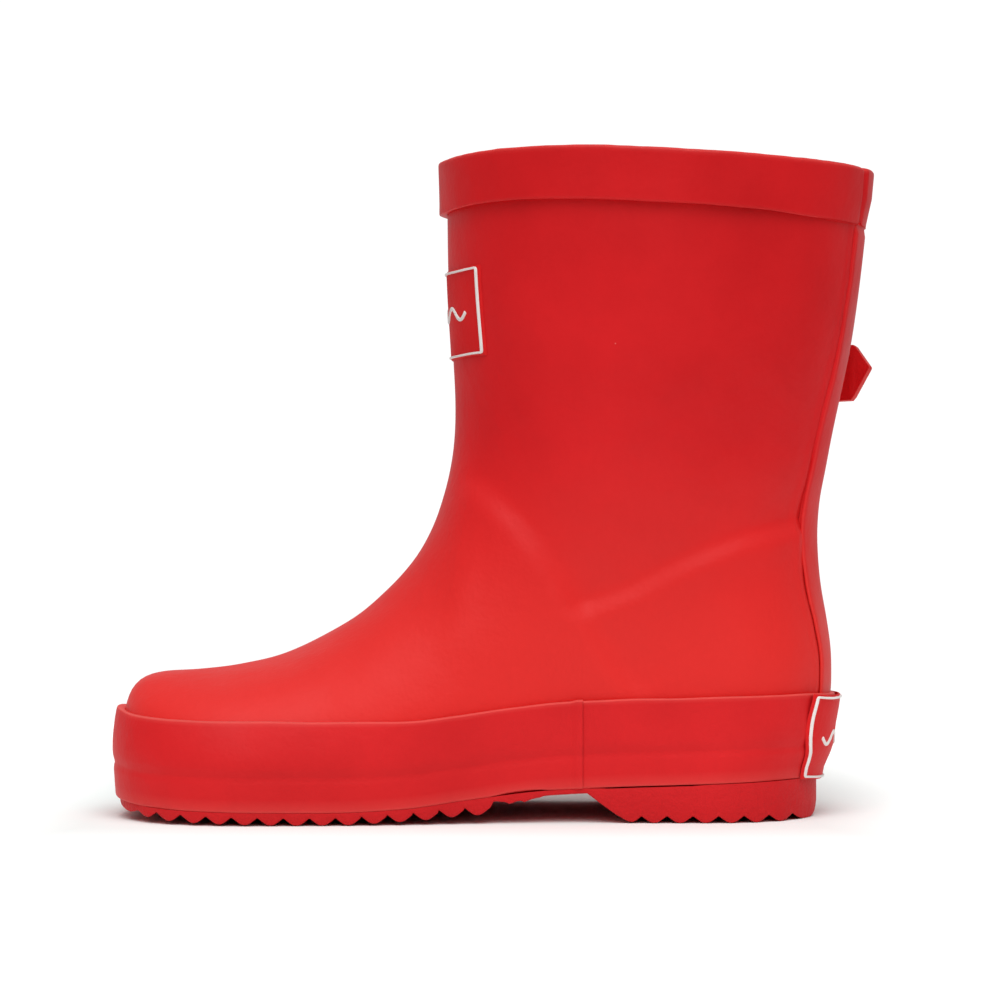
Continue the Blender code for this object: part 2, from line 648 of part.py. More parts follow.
def prism(name, frame, outline, half_width):
    """A solid with that (s, h) outline, as wide as twice half_width across the strap."""
    n = len(outline)
    points = [(s, h, u) for u in (-half_width, half_width) for s, h in outline]
    faces = [tuple(range(n)), tuple(range(2 * n - 1, n - 1, -1))]
    faces += [(i, n + i, n + (i + 1) % n, (i + 1) % n) for i in range(n)]
    return add_object(name, frame.place(points), faces, RED_RUBBER)


def make_strap_tab(frame):
    """The tab glued to the leg behind the buckle and folded round its bar, with a notch for the prong."""
    reach = 17.0
    half_width = STRAP_WIDTH / 2 - 0.8
    inner_r = BAR_RADIUS + 0.25
    outer_r = inner_r + TAB

    def on_leg(s, above=0.0):
        return s, max(float(frame.leg(s)) + GAP, -9) + above

    def round_bar(radius, degrees):
        return [(radius * math.cos(a), BAR_HEIGHT + radius * math.sin(a)) for a in np.radians(degrees)]

    outline = [on_leg(reach, 0.7)] + [on_leg(s, 2 * TAB) for s in (15.5, 12, 8.5, 5.5)]
    outline += round_bar(outer_r, np.arange(60, 271, 21)) + [on_leg(s) for s in (3.0, 5.5, 8.5, 12, reach)]
    tab = prism("strap_tab", frame, outline, half_width)
    bore = prism("tab_bore", frame, round_bar(inner_r, np.arange(0, 360, 30)), half_width + 1)
    bore.hide_render = True
    bore.display_type = "WIRE"
    cut(tab, bore)
    cut(tab, slot_cutter("tab_notch", frame, (-0.6, BAR_HEIGHT), (1, 0), 7.0, 3.6))


def make_buckle(frame):
    """A nickel wire frame that turns on its own rear bar in the folded tab, and a prong on the same bar."""
    fall = 0.9 / BUCKLE_LENGTH  # the frame's front end lies nearer the leg
    corner = 2.2
    near, far, wide = -corner, -BUCKLE_LENGTH + corner, BUCKLE_SPREAD - corner
    line = []
    for centre_s, centre_u, start in ((near, wide, 0), (far, wide, 90), (far, -wide, 180), (near, -wide, 270)):
        for a in np.radians(start + np.array([0, 30, 60, 90])):
            s = centre_s + corner * math.cos(a)
            line.append((s, BAR_HEIGHT + s * fall, centre_u + corner * math.sin(a)))
    paths = [frame.place(path) for path in tube_points(line, BAR_RADIUS, 8, [(0, 1, 0)] * len(line))]
    bar = frame.place([(0, BAR_HEIGHT, 0)])[0]
    sweep("buckle_frame", paths, NICKEL, closed=True, pivot=bar)

    eye_out, eye_in, half = 2.15, BAR_RADIUS + 0.2, 1.2
    circle = [(math.cos(a), math.sin(a)) for a in np.radians(np.arange(0, 360, 30))]
    corners = ((eye_in, -half), (eye_out, -half), (eye_out, half), (eye_in, half))
    eye = [frame.place([(r * c, BAR_HEIGHT + r * s, u) for c, s in circle]) for r, u in corners]
    prong = sweep("buckle_prong", eye, NICKEL, closed=True, pivot=bar)
    rod_line = [(-1.75, 3.2), (-6.0, 3.55), (-12.0, 3.75), (-14.2, 3.75)]
    corners = ((-0.65, -0.8), (-0.65, 0.8), (0.65, 0.8), (0.65, -0.8))
    rod = [frame.place([(s, h + up, u) for s, h in rod_line]) for up, u in corners]
    arm = sweep("prong_arm", rod, NICKEL)
    arm.hide_render = True
    arm.display_type = "WIRE"
    joined = prong.modifiers.new("arm", "BOOLEAN")
    joined.operation = "UNION"
    joined.solver = "EXACT"
    joined.object = arm


# ---- Assembly ----------------------------------------------------------------------------------------
def main():
    for old in list(bpy.data.objects):
        bpy.data.objects.remove(old, do_unlink=True)
    make_upper_shell()
    make_plies()
    make_lining()
    make_plate("midsole", 0.2, 0.0, 1.2, SOLE_RUBBER)
    make_plate("insole_board", SHELL + WRAP_GAP, 1.5, 3.0, BOARD)
    make_plate("footbed", UNDER_PLIES + LINING + 0.9, 5.2, 8.2, FOAM)
    make_top_band()
    make_back_strip()
    make_foxings()
    make_outsole()
    make_heel_block()
    make_label("front_label", 0.0, False, 120.4, FRONT_LABEL_WIDTH)
    make_label("heel_label", -GAP - FOXING - 0.1, True, 19.8, HEEL_LABEL_WIDTH)
    frame = StrapFrame()
    make_strap(frame)
    make_strap_tab(frame)
    make_buckle(frame)


main()
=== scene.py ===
import math

import bmesh
import bpy
import numpy as np
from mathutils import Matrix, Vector, noise


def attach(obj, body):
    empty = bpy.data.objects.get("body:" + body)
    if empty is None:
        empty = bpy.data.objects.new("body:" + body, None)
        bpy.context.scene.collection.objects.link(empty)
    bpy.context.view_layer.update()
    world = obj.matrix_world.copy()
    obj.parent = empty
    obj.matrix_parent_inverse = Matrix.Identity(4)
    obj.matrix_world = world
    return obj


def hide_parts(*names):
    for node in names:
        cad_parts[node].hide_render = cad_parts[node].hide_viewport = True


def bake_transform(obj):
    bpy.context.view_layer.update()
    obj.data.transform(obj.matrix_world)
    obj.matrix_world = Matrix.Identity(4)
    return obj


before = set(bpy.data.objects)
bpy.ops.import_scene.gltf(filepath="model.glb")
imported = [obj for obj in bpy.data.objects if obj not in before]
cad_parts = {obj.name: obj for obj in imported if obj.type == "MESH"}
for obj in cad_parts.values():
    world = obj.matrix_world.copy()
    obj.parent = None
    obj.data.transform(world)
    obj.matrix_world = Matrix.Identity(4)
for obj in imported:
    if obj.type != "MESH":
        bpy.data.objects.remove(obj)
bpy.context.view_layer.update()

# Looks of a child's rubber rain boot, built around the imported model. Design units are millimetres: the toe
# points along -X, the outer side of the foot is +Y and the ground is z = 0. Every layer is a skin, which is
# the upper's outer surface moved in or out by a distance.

MM = 0.001
ORIGIN = np.array([1.0, 0.0, 0.0])
LATERAL, MEDIAL = 1, -1

SHELL = 1.5
LINING = 0.7
PLIES = 1.95  # how far inside the shell the lining runs where the plies lie between them
RIM_HEIGHT = 156.6
BAND_HEIGHT = 12.4
SEAM_X = 19.0
TIGHT = 0.04  # the hairline between bonded layers

FRONT_LINE = [
    (-90.0, 3.0), (-90.5, 9.0), (-90.8, 15.0), (-90.6, 21.0), (-89.8, 26.5), (-88.2, 30.6), (-85.3, 33.1),
    (-80.5, 34.3), (-72.0, 34.8), (-62.0, 36.1), (-50.6, 39.0), (-36.1, 46.4), (-27.1, 54.0), (-20.8, 61.3),
    (-16.4, 69.0), (-13.5, 77.0), (-11.5, 86.0), (-10.8, 97.0), (-11.3, 110.0), (-12.3, 127.0),
    (-12.8, 145.0), (-13.0, 162.0),
]
BACK_LINE = [
    (74.7, 4.0), (75.1, 9.0), (75.6, 12.0), (76.5, 14.2), (77.7, 17.0), (78.3, 21.0), (78.7, 27.0),
    (79.1, 32.0), (79.0, 39.5), (78.0, 47.0), (76.7, 54.5), (76.0, 61.5), (75.8, 68.5), (76.4, 75.7),
    (77.8, 83.0), (79.3, 91.0), (81.5, 101.5), (83.7, 112.0), (85.8, 126.0), (87.3, 139.0), (88.2, 151.0),
    (89.0, 162.0),
]
TOE_WIDEST_Z = 15.0
DOME_FOOT_Z = 9.0
DOME_POWER = 2.4
TOE_LENGTH = 35.0
HEEL_LENGTH = 26.0


# ---- Outline of the boot ----
def cubic_through(points):
    """A monotone cubic through (x, y) points, as a function of x."""
    x, y = np.array(points, float).T
    step = np.diff(x)
    slope = np.diff(y) / step
    tangent = np.zeros(len(x))
    tangent[0], tangent[-1] = slope[0], slope[-1]
    for i in range(1, len(x) - 1):
        if slope[i - 1] * slope[i] > 0:
            before, after = 2 * step[i] + step[i - 1], step[i] + 2 * step[i - 1]
            tangent[i] = (before + after) / (before / slope[i - 1] + after / slope[i])

    def value(at):
        at = np.clip(np.asarray(at, float), x[0], x[-1])
        i = np.clip(np.searchsorted(x, at) - 1, 0, len(x) - 2)
        u = (at - x[i]) / step[i]
        return (
            y[i] * (1 + 2 * u) * (1 - u) ** 2
            + step[i] * tangent[i] * u * (1 - u) ** 2
            + y[i + 1] * u**2 * (3 - 2 * u)
            - step[i] * tangent[i + 1] * u**2 * (1 - u)
        )

    return value


def smooth_line(points, steps=10):
    """Points on the Catmull-Rom curve through the given ones."""
    p = np.array(points, float)
    p = np.vstack([2 * p[0] - p[1], p, 2 * p[-1] - p[-2]])
    u = np.linspace(0, 1, steps, endpoint=False)[:, None]
    runs = [
        0.5 * (2 * b + (c - a) * u + (2 * a - 5 * b + 4 * c - d) * u**2 + (3 * b - a - 3 * c + d) * u**3)
        for a, b, c, d in zip(p, p[1:], p[2:], p[3:])
    ]
    return np.vstack(runs + [p[-2:-1]])


def left_of(line, closed=False):
    """Unit vectors to the left of a flat line at each of its points."""
    ahead = np.roll(line, -1, axis=0) - np.roll(line, 1, axis=0) if closed else np.gradient(line, axis=0)
    ahead /= np.linalg.norm(ahead, axis=1)[:, None]
    return np.stack([-ahead[:, 1], ahead[:, 0]], axis=1)


def distance_along(line):
    return np.concatenate([[0], np.cumsum(np.linalg.norm(np.diff(line, axis=0), axis=1))])


def ease(value):
    """0 below 0, 1 above 1, smooth between."""
    value = np.clip(value, 0, 1)
    return value * value * (3 - 2 * value)


FOOT_HALF_WIDTH = {
    MEDIAL: cubic_through(
        [(-92, 31.0), (-60, 32.6), (-34, 33.0), (0, 28.8), (22, 27.2), (50, 27.4), (80, 27.0)]
    ),
    LATERAL: cubic_through(
        [(-92, 30.5), (-60, 32.5), (-30, 33.4), (5, 30.2), (28, 27.8), (50, 27.4), (80, 27.0)]
    ),
}
LEG_HALF_WIDTH = cubic_through(
    [(30, 27.4), (52, 26.9), (68, 28.0), (85, 30.9), (110, 34.7), (135, 36.8), (160, 37.6)]
)
CENTRE_LINE = cubic_through([(-92, -4.5), (-60, -2.4), (-25, -0.4), (0, 0.0), (90, 0.0)])

# Heights along the foot and the rim, as functions of x.
BASE_Z = cubic_through(
    [(-93, 5.2), (-84, 4.0), (-70, 3.3), (-40, 3.0), (-22, 3.8), (-8, 5.6), (12, 7.8), (50, 9.2), (80, 10.0)]
)
FOXING_TOP_Z = cubic_through(
    [(-94, 27), (-86, 24.8), (-60, 23.9), (-26, 23.9), (-10, 25.2), (2, 27), (19, 28.6), (50, 29.4),
     (70, 29.8), (84, 28.8)]
)
TREAD_Z = cubic_through(
    [(-93, 4.2), (-86.5, 2.1), (-81, 1.2), (-76, 0.75), (-70, 0.5), (-54, 0.1), (-46, 0), (-38, 0),
     (-29, 0.4), (-16.5, 1.15), (-10, 1.75), (-4, 2.1)]
)
# How far the rim lies below RIM_HEIGHT, and how far the band's lower edge rises above its lowest line.
RIM_FALL = cubic_through([(-13, 1.1), (-6, 0.5), (5, 0.24), (19, 0.3), (34, 1.0), (63, 2.4), (87, 3.4)])
BAND_RISE = cubic_through([(-13, 1.2), (5, 1.65), (22, 1.2), (60, 1.05), (72, 0.45), (87, 0.2)])


class Skin:
    """The upper's outer surface, moved inwards by inset (outwards if negative)."""

    def __init__(self, inset):
        self.inset = inset
        front, back = smooth_line(FRONT_LINE), smooth_line(BACK_LINE)
        self.front_line = front - inset * left_of(front)
        self.back_line = back + inset * left_of(back)
        x, z = self.front_line.T
        over = (z > TOE_WIDEST_Z) & (z < 84)
        self.dome_x = np.append(np.maximum.accumulate(x[over]), [x[over][-1] + 8, x[over][-1] + 120])
        self.dome_z = np.append(z[over], [z[over][-1] + 45, z[over][-1] + 1200])

    def front(self, z):
        return np.interp(z, self.front_line[:, 1], self.front_line[:, 0])

    def back(self, z):
        return np.interp(z, self.back_line[:, 1], self.back_line[:, 0])

    def half_width(self, x, z, side):
        front, back = self.front(z), self.back(z)
        tip = self.front(np.minimum(z, TOE_WIDEST_Z))
        toe = np.clip((x - tip) / (TOE_LENGTH - self.inset), 0, 1)
        dome_top = np.interp(x, self.dome_x, self.dome_z)
        dome = np.clip((z - DOME_FOOT_Z) / (dome_top - DOME_FOOT_Z), 0, 1) ** DOME_POWER
        shin = (1 - np.clip((x - front) / ((back - front) / 2), 0, 1)) ** 2
        closing = dome + (shin - dome) * ease((z - 42) / 46)
        heel_length = HEEL_LENGTH - self.inset
        heel_run = heel_length + ((back - front) / 2 - heel_length) * ease((z - 34) / 66)
        heel = np.clip((back - x) / heel_run, 0, 1)
        in_leg = ease((z - 22) / 50)
        width = FOOT_HALF_WIDTH[side](x) * (1 - in_leg) + LEG_HALF_WIDTH(z) * in_leg - self.inset
        round_toe = (1 - (1 - toe) ** 2.3) ** (1 / 2.3)
        return width * round_toe * np.sqrt(np.clip(1 - closing, 0, 1)) * np.sqrt(1 - (1 - heel) ** 2)

    def centre(self, x, z):
        return CENTRE_LINE(x) * (1 - ease((z - 30) / 35))

    def point(self, x, z, side):
        return np.stack([x, self.centre(x, z) + side * self.half_width(x, z, side), z], axis=-1)

    def ends(self, level):
        """x where the surface z = level(x) meets the front and back lines."""
        front, back = -90.0, 78.0
        for _ in range(12):
            front, back = float(self.front(level(front))), float(self.back(level(back)))
        return front, back

    def half_loop(self, level, start, stop, count, side, at_front=True, at_back=True):
        """Points from x = start to x = stop on one side, packed closely towards the rounded ends."""
        u = np.linspace(0, 1, count + 1)
        if at_front and at_back:
            u = (1 - np.cos(math.pi * u)) / 2
        elif at_front:
            u = 1 - np.cos(math.pi * u / 2)
        elif at_back:
            u = np.sin(math.pi * u / 2)
        x = start + (stop - start) * u
        return self.point(x, level(x), side)

    def loop(self, level, count):
        """A closed loop of 2 * count points round the boot: front, lateral side, back, medial side."""
        front, back = self.ends(level)
        out = self.half_loop(level, front, back, count, LATERAL)
        home = self.half_loop(level, front, back, count, MEDIAL)
        out[0, 1] = home[0, 1] = self.centre(front, level(front))
        out[-1, 1] = home[-1, 1] = 0.0
        return np.vstack([out, home[-2:0:-1]])

    def front_path(self, level, stop, count):
        """An open path round the toe or shin between the points at x = stop, the lateral one first."""
        front = self.ends(level)[0]
        out = self.half_loop(level, front, stop, count, LATERAL, at_back=False)
        home = self.half_loop(level, front, stop, count, MEDIAL, at_back=False)
        out[0, 1] = self.centre(front, level(front))
        return np.vstack([out[::-1], home[1:]])

    def back_path(self, level, start, count):
        """An open path round the heel or calf between the points at x = start, the lateral one first."""
        back = self.ends(level)[1]
        out = self.half_loop(level, start, back, count, LATERAL, at_front=False)
        home = self.half_loop(level, start, back, count, MEDIAL, at_front=False)
        return np.vstack([out[:-1], home[::-1]])

    def arc(self, level, distances, at_back):
        """Points at signed distances round from the middle line, lateral positive."""
        front, back = self.ends(level)
        fine = self.back_path(level, back - 40, 120) if at_back else self.front_path(level, front + 40, 120)
        run = distance_along(fine)
        run = run[len(run) // 2] - run
        order = np.argsort(run)
        return np.stack([np.interp(distances, run[order], fine[order, k]) for k in range(3)], axis=1)


def level_at(height):
    """A level of the upper: it follows the sole below, is flat at the ankle and falls with the rim above."""

    def z(x):
        low = (BASE_Z(x) - 6.0) * (1 - ease((height - 6) / 30))
        return height + low - RIM_FALL(x) * ease((height - 95) / 45)

    return z


def above_base(distance):
    return lambda x: BASE_Z(x) + distance


def fine_heights(start, stop, step):
    """Heights evenly spaced along the front outline, so that the vamp gets as many as the leg."""
    line = smooth_line(FRONT_LINE, 20)
    run = distance_along(line)
    first, last = np.interp([start, stop], line[:, 1], run)
    return np.interp(np.linspace(first, last, int((last - first) / step) + 1), run, line[:, 1])


# ---- Meshes ----
def to_metres(points):
    return (np.asarray(points, float) + ORIGIN) * MM


def mesh_object(name, points, faces, edge=None, sharp=50):
    """A smooth-shaded mesh with its faces pointing out. edge marks points on a cut rubber edge, paled partly
    as a painted highlight, 0 to 1.
    """
    mesh = bpy.data.meshes.new(name)
    mesh.from_pydata([tuple(p) for p in to_metres(points)], [], [tuple(f) for f in faces])
    bm = bmesh.new()
    bm.from_mesh(mesh)
    bmesh.ops.recalc_face_normals(bm, faces=bm.faces[:])
    bm.to_mesh(mesh)
    bm.free()
    if edge is not None:
        values = np.asarray(edge, np.float32).ravel()
        mesh.attributes.new("edge", "FLOAT", "POINT").data.foreach_set("value", values)
    mesh.shade_smooth()
    mesh.set_sharp_from_angle(angle=math.radians(sharp))
    made = bpy.data.objects.new(name, mesh)
    bpy.context.scene.collection.objects.link(made)
    return made


def grid_faces(rows, count, closed_rows, closed_columns):
    faces = []
    for a in range(rows if closed_rows else rows - 1):
        b = (a + 1) % rows
        for i in range(count if closed_columns else count - 1):
            j = (i + 1) % count
            faces.append((a * count + i, a * count + j, b * count + j, b * count + i))
    return faces


def tube(name, grid, edge=None, sharp=50):
    """A solid whose section is a column of the grid, closed round, with the ends of its run filled."""
    rows, count = grid.shape[:2]
    faces = grid_faces(rows, count, True, False)
    faces.append([a * count for a in range(rows)])
    faces.append([a * count + count - 1 for a in range(rows)][::-1])
    return mesh_object(name, grid.reshape(-1, 3), faces, edge, sharp)


def ring(name, grid, edge=None):
    """The same, with its run closed on itself."""
    rows, count = grid.shape[:2]
    return mesh_object(name, grid.reshape(-1, 3), grid_faces(rows, count, True, True), edge)


def sheet(name, top, bottom):
    """A thin solid between two open grids of the same size."""
    rows, count = top.shape[:2]
    size = rows * count
    faces = grid_faces(rows, count, False, False)
    faces += [tuple(i + size for i in face[::-1]) for face in faces]
    at = np.arange(size).reshape(rows, count)
    border = np.concatenate([at[0], at[1:, -1], at[-1, -2::-1], at[-2:0:-1, 0]]).tolist()
    faces += [(a, b, b + size, a + size) for a, b in zip(border, border[1:] + border[:1])]
    return mesh_object(name, np.concatenate([top, bottom]).reshape(-1, 3), faces)


def cup(name, grid):
    """A sock-like solid: closed loops, with the first and the last one filled across."""
    rows, count = grid.shape[:2]
    faces = grid_faces(rows, count, False, True)
    half = count // 2
    for first in (0, (rows - 1) * count):
        faces.append((first, first + 1, first + count - 1))
        for i in range(first + 1, first + half - 1):
            opposite = 2 * first + count - i
            faces.append((i, i + 1, opposite - 1, opposite))
        faces.append((first + half - 1, first + half, first + half + 1))
    return mesh_object(name, grid.reshape(-1, 3), faces)


def normals_of(grid):
    """Outward normals of a grid of closed loops round the boot."""
    across = np.gradient(grid, axis=0)
    along = (np.roll(grid, -1, axis=1) - np.roll(grid, 1, axis=1)) / 2
    normal = np.cross(across, along)
    return normal / np.maximum(np.linalg.norm(normal, axis=2), 1e-9)[:, :, None]


def rolling(points, size, seed):
    """Smooth noise, about -1 to 1, with lumps of that size."""
    flat = points.reshape(-1, 3) / size + seed
    values = np.array([noise.noise(Vector(p)) for p in flat])
    return values.reshape(points.shape[:-1])


def from_polyline(x, z, line):
    """Signed distance from each (x, z) to a polyline, positive on its left, and the share of it passed."""
    line = np.array(line, float)
    lengths = np.linalg.norm(np.diff(line, axis=0), axis=1)
    total = lengths.sum()
    best = np.full(x.shape, 1e9)
    along = np.zeros(x.shape)
    start = 0.0
    for a, b, length in zip(line, line[1:], lengths):
        d = (b - a) / length
        t = np.clip((x - a[0]) * d[0] + (z - a[1]) * d[1], 0, length)
        side = np.where(d[0] * (z - a[1]) > d[1] * (x - a[0]), 1, -1)
        distance = np.hypot(x - a[0] - t * d[0], z - a[1] - t * d[1])
        nearer = distance < np.abs(best)
        best = np.where(nearer, side * distance, best)
        along = np.where(nearer, (start + t) / total, along)
        start += length
    return best, along


def filled_in(points, spacing):
    """A closed line's points, with others between them where they lie further apart than spacing."""
    points = np.array(points, float)
    dense = []
    for a, b in zip(points, np.roll(points, -1, axis=0)):
        steps = max(1, int(math.dist(a, b) / spacing))
        dense += [a + (b - a) * k / steps for k in range(steps)]
    return np.array(dense)


# ---- Materials ----
class Nodes:
    """The node tree of a material or a world, with a short way to add and wire nodes."""

    def __init__(self, owner, shader="Principled BSDF"):
        owner.use_nodes = True
        self.owner = owner
        self.tree = owner.node_tree
        self.shader = self.tree.nodes[shader]
        self.coordinates = self.add("ShaderNodeTexCoord").outputs
        self.place = self.coordinates["Object"]

    def add(self, kind, **settings):
        node = self.tree.nodes.new(kind)
        for key, value in settings.items():
            setattr(node, key, value)
        return node

    def feed(self, slot, value):
        """Gives an input a wire from a socket, or a plain value."""
        if isinstance(value, bpy.types.NodeSocket):
            self.tree.links.new(value, slot)
        else:
            slot.default_value = (*value, 1) if isinstance(value, tuple) else value

    def set(self, **values):
        for key, value in values.items():
            self.feed(self.shader.inputs[key.replace("_", " ")], value)

    def noise(self, scale, detail=3.0, roughness=0.5):
        made = self.add("ShaderNodeTexNoise")
        settings = {"Scale": scale, "Detail": detail, "Roughness": roughness, "Vector": self.place}
        for key, value in settings.items():
            self.feed(made.inputs[key], value)
        return made.outputs["Fac"]

    def ramp(self, source, stops):
        """A colour or grey ramp from (position, value) stops."""
        made = self.add("ShaderNodeValToRGB")
        for element, (position, value) in zip(made.color_ramp.elements, stops):
            element.position = position
            element.color = (*value, 1) if isinstance(value, tuple) else (value, value, value, 1)
        self.feed(made.inputs["Fac"], source)
        return made.outputs["Color"]

    def math(self, operation, a, b=0.0, c=0.0):
        made = self.add("ShaderNodeMath", operation=operation)
        for slot, value in zip(made.inputs, (a, b, c)):
            self.feed(slot, value)
        return made.outputs[0]

    def mix(self, factor, a, b):
        made = self.add("ShaderNodeMix", data_type="RGBA")
        for slot, value in zip((made.inputs[0], made.inputs[6], made.inputs[7]), (factor, a, b)):
            self.feed(slot, value)
        return made.outputs[2]

    def xyz(self):
        split = self.add("ShaderNodeSeparateXYZ")
        self.feed(split.inputs[0], self.place)
        return split.outputs

    def bump(self, height, distance, over=None):
        """A bump, laid over another one if that is given."""
        made = self.add("ShaderNodeBump")
        made.inputs["Distance"].default_value = distance
        self.feed(made.inputs["Height"], height)
        if over:
            self.feed(made.inputs["Normal"], over)
        return made.outputs["Normal"]


DUST = (0.9, 0.42, 0.38)
CUT_EDGE_AND_HIGHLIGHT = (0.92, 0.20, 0.17)


def rubber(name, colour, roughness=0.5, grain=0.00006, specks=True, foot=None):
    """Satin moulded rubber: slow drifts of colour and gloss, a fine grain, dust specks, and paler cut edges
    that are partly a painted highlight.

    With foot, the rubber takes on that lighter colour low down on the boot: painted light for the brighter
    foot.
    """
    n = Nodes(bpy.data.materials.new(name))
    deep = tuple(c * 0.90 for c in colour)
    light = tuple(min(1.0, c * 1.07 + 0.002) for c in colour)
    base = n.mix(n.ramp(n.noise(28, 4, 0.55), [(0.3, 0.0), (0.7, 1.0)]), deep, light)
    if specks:
        cells = n.add("ShaderNodeTexVoronoi")
        cells.inputs["Scale"].default_value = 105
        n.feed(cells.inputs["Vector"], n.place)
        near = n.ramp(cells.outputs["Distance"], [(0.012, 1.0), (0.026, 0.0)])
        lot = n.math("FRACT", n.math("MULTIPLY", cells.outputs["Color"], 7.3))
        chosen = n.math("GREATER_THAN", lot, 0.72)
        base = n.mix(n.math("MULTIPLY", n.math("MULTIPLY", near, chosen), 0.5), base, DUST)
    if foot:
        # Painted light: below the ankle the colour turns lighter, standing in for the extra light on the
        # foot's lower sides.
        base = n.mix(n.ramp(n.xyz()["Z"], [(0.044, 0.85), (0.090, 0.0)]), base, foot)
    # The edge attribute pales the rims: partly cut rubber, partly a painted highlight.
    edge = n.add("ShaderNodeAttribute", attribute_name="edge").outputs["Fac"]
    fine = n.bump(n.noise(900, 2, 0.6), grain)
    n.set(
        Base_Color=n.mix(n.math("MULTIPLY", edge, 0.35), base, CUT_EDGE_AND_HIGHLIGHT),
        Roughness=n.ramp(n.noise(60), [(0.3, roughness - 0.05), (0.75, roughness + 0.07)]),
        Normal=n.bump(n.noise(120), 0.00035, fine),
        Specular_IOR_Level=0.16,
    )
    return n.owner


STITCH_WIDTH = 0.0011
STITCH_HEIGHT = 0.0009


def knit(name, colour):
    """Fine cotton jersey: rows of small stitches."""
    n = Nodes(bpy.data.materials.new(name))
    x, y, z = n.xyz()
    ribs = n.math("SINE", n.math("MULTIPLY", n.math("ADD", x, y), 2 * math.pi / STITCH_WIDTH))
    rows = n.math("SINE", n.math("MULTIPLY", z, 2 * math.pi / STITCH_HEIGHT))
    stitch = n.math("MULTIPLY", ribs, rows)
    tone = n.math("ADD", n.math("MULTIPLY", stitch, 0.18), n.noise(250, 4))
    base = n.ramp(tone, [(0.2, tuple(c * 0.82 for c in colour)), (0.75, colour)])
    n.set(Base_Color=base, Roughness=0.92, Normal=n.bump(stitch, 0.00012))
    n.set(Sheen_Weight=0.35, Sheen_Roughness=0.6, Specular_IOR_Level=0.2)
    return n.owner


def board(name, colour):
    """Pressed fibre board."""
    n = Nodes(bpy.data.materials.new(name))
    base = n.ramp(n.noise(700, 5, 0.7), [(0.35, tuple(c * 0.75 for c in colour)), (0.7, colour)])
    n.set(Base_Color=base, Roughness=0.85, Normal=n.bump(n.noise(1200, 4), 0.0001))
    return n.owner


def nickel(name):
    """Satin nickel plate with faint polishing marks."""
    n = Nodes(bpy.data.materials.new(name))
    gloss = n.ramp(n.noise(400, 4), [(0.3, 0.22), (0.75, 0.36)])
    marks = n.bump(n.noise(1500, 2), 0.00003)
    n.set(Metallic=1.0, Base_Color=(0.66, 0.64, 0.60), Roughness=gloss, Normal=marks)
    return n.owner


RED = (0.66, 0.0085, 0.0115)
# The foot's lighter red is painted light, for the brighter light its lower sides catch.
PAINTED_LIGHT_FOOT_RED = (0.72, 0.0245, 0.0205)
MATERIALS = {
    "red_rubber": rubber("boot_rubber", RED, 0.46, foot=PAINTED_LIGHT_FOOT_RED),
    "foxing_rubber": rubber("foxing_rubber", (0.615, 0.010, 0.0125), 0.52, 0.00008),
    "sole_rubber": rubber("sole_rubber", (0.575, 0.009, 0.0125), 0.6, 0.00025),
    "label_rubber": rubber("label_rubber", (0.66, 0.008, 0.010), 0.6, 0.0001, False),
    "white_rubber": rubber("white_rubber", (0.82, 0.78, 0.76), 0.5, 0.0001, False),
    "ply_rubber": rubber("ply_rubber", (0.05, 0.05, 0.055), 0.7, 0.0003, False),
    "cotton_lining": knit("lining_cotton", (0.80, 0.77, 0.70)),
    "footbed_foam": knit("footbed_cloth", (0.50, 0.50, 0.53)),
    "insole_board": board("fibre_board", (0.45, 0.33, 0.22)),
    "nickel": nickel("satin_nickel"),
}


def finish_piece(piece, look, *nodes, body="boot"):
    """Gives a piece its material, puts it on its body if it has one, and hides the CAD nodes it stands in
    for.
    """
    piece.data.materials.clear()
    piece.data.materials.append(MATERIALS[look])
    if body:
        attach(piece, body)
    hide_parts(*nodes)


# ---- Upper ----
STRIP_HALF_WIDTH = cubic_through([(30, 14.3), (45, 14.6), (66, 15.2), (85, 14.7), (110, 14.2), (145, 14.2)])
COLUMNS = 110
# The edges of the plies moulded under the upper, as (x, z) points, each with its ply on the right.
VAMP_EDGE = [
    (-10.2, 82.8), (-4.3, 77.2), (3.6, 69.8), (12.2, 59.2), (17.5, 50.3), (21.6, 43.4), (26.8, 35.6),
    (33.3, 26.5),
]
HEEL_EDGE = [(14.5, 48.2), (20.0, 49.6), (31.0, 53.6), (43.5, 60.3), (56.8, 65.5), (69.2, 68.8), (76.0, 70.4)]
PLY_STEP = 1.75
PLY_STEP_WIDTH = 5.2
PLY_STEP_REACH = 9.0


def ply_steps(grid):
    """How far the plies' edges push the upper's face out on their side and let it sink on the other."""
    x, z = grid[:, :, 0], grid[:, :, 2]
    steps = np.zeros(x.shape)
    for line in (VAMP_EDGE, HEEL_EDGE):
        distance, along = from_polyline(x, z, line)
        step = 0.5 - ease(0.5 + distance / PLY_STEP_WIDTH)
        near = np.exp(-((distance / PLY_STEP_REACH) ** 2))
        steps += PLY_STEP * step * near * ease(along / 0.12) * ease((1 - along) / 0.1)
    return steps * ease((z - 24) / 8)


def upper_relief(grid):
    """The waviness of hand-laid rubber, and a slight swelling along each edge of the back strip."""
    z = grid[:, :, 2]
    relief = -0.22 * rolling(grid, 26.0, 3.0) - 0.10 * rolling(grid, 11.0, 9.0)
    relief *= ease((z - 24) / 8) * ease((RIM_HEIGHT - z) / 12)
    strip_edge = (np.abs(grid[:, :, 1]) - 0.985 * STRIP_HALF_WIDTH(z)) / 0.9
    return relief + 0.45 * np.exp(-(strip_edge**2)) * (grid[:, :, 0] > 60) * ease((z - 28) / 3)


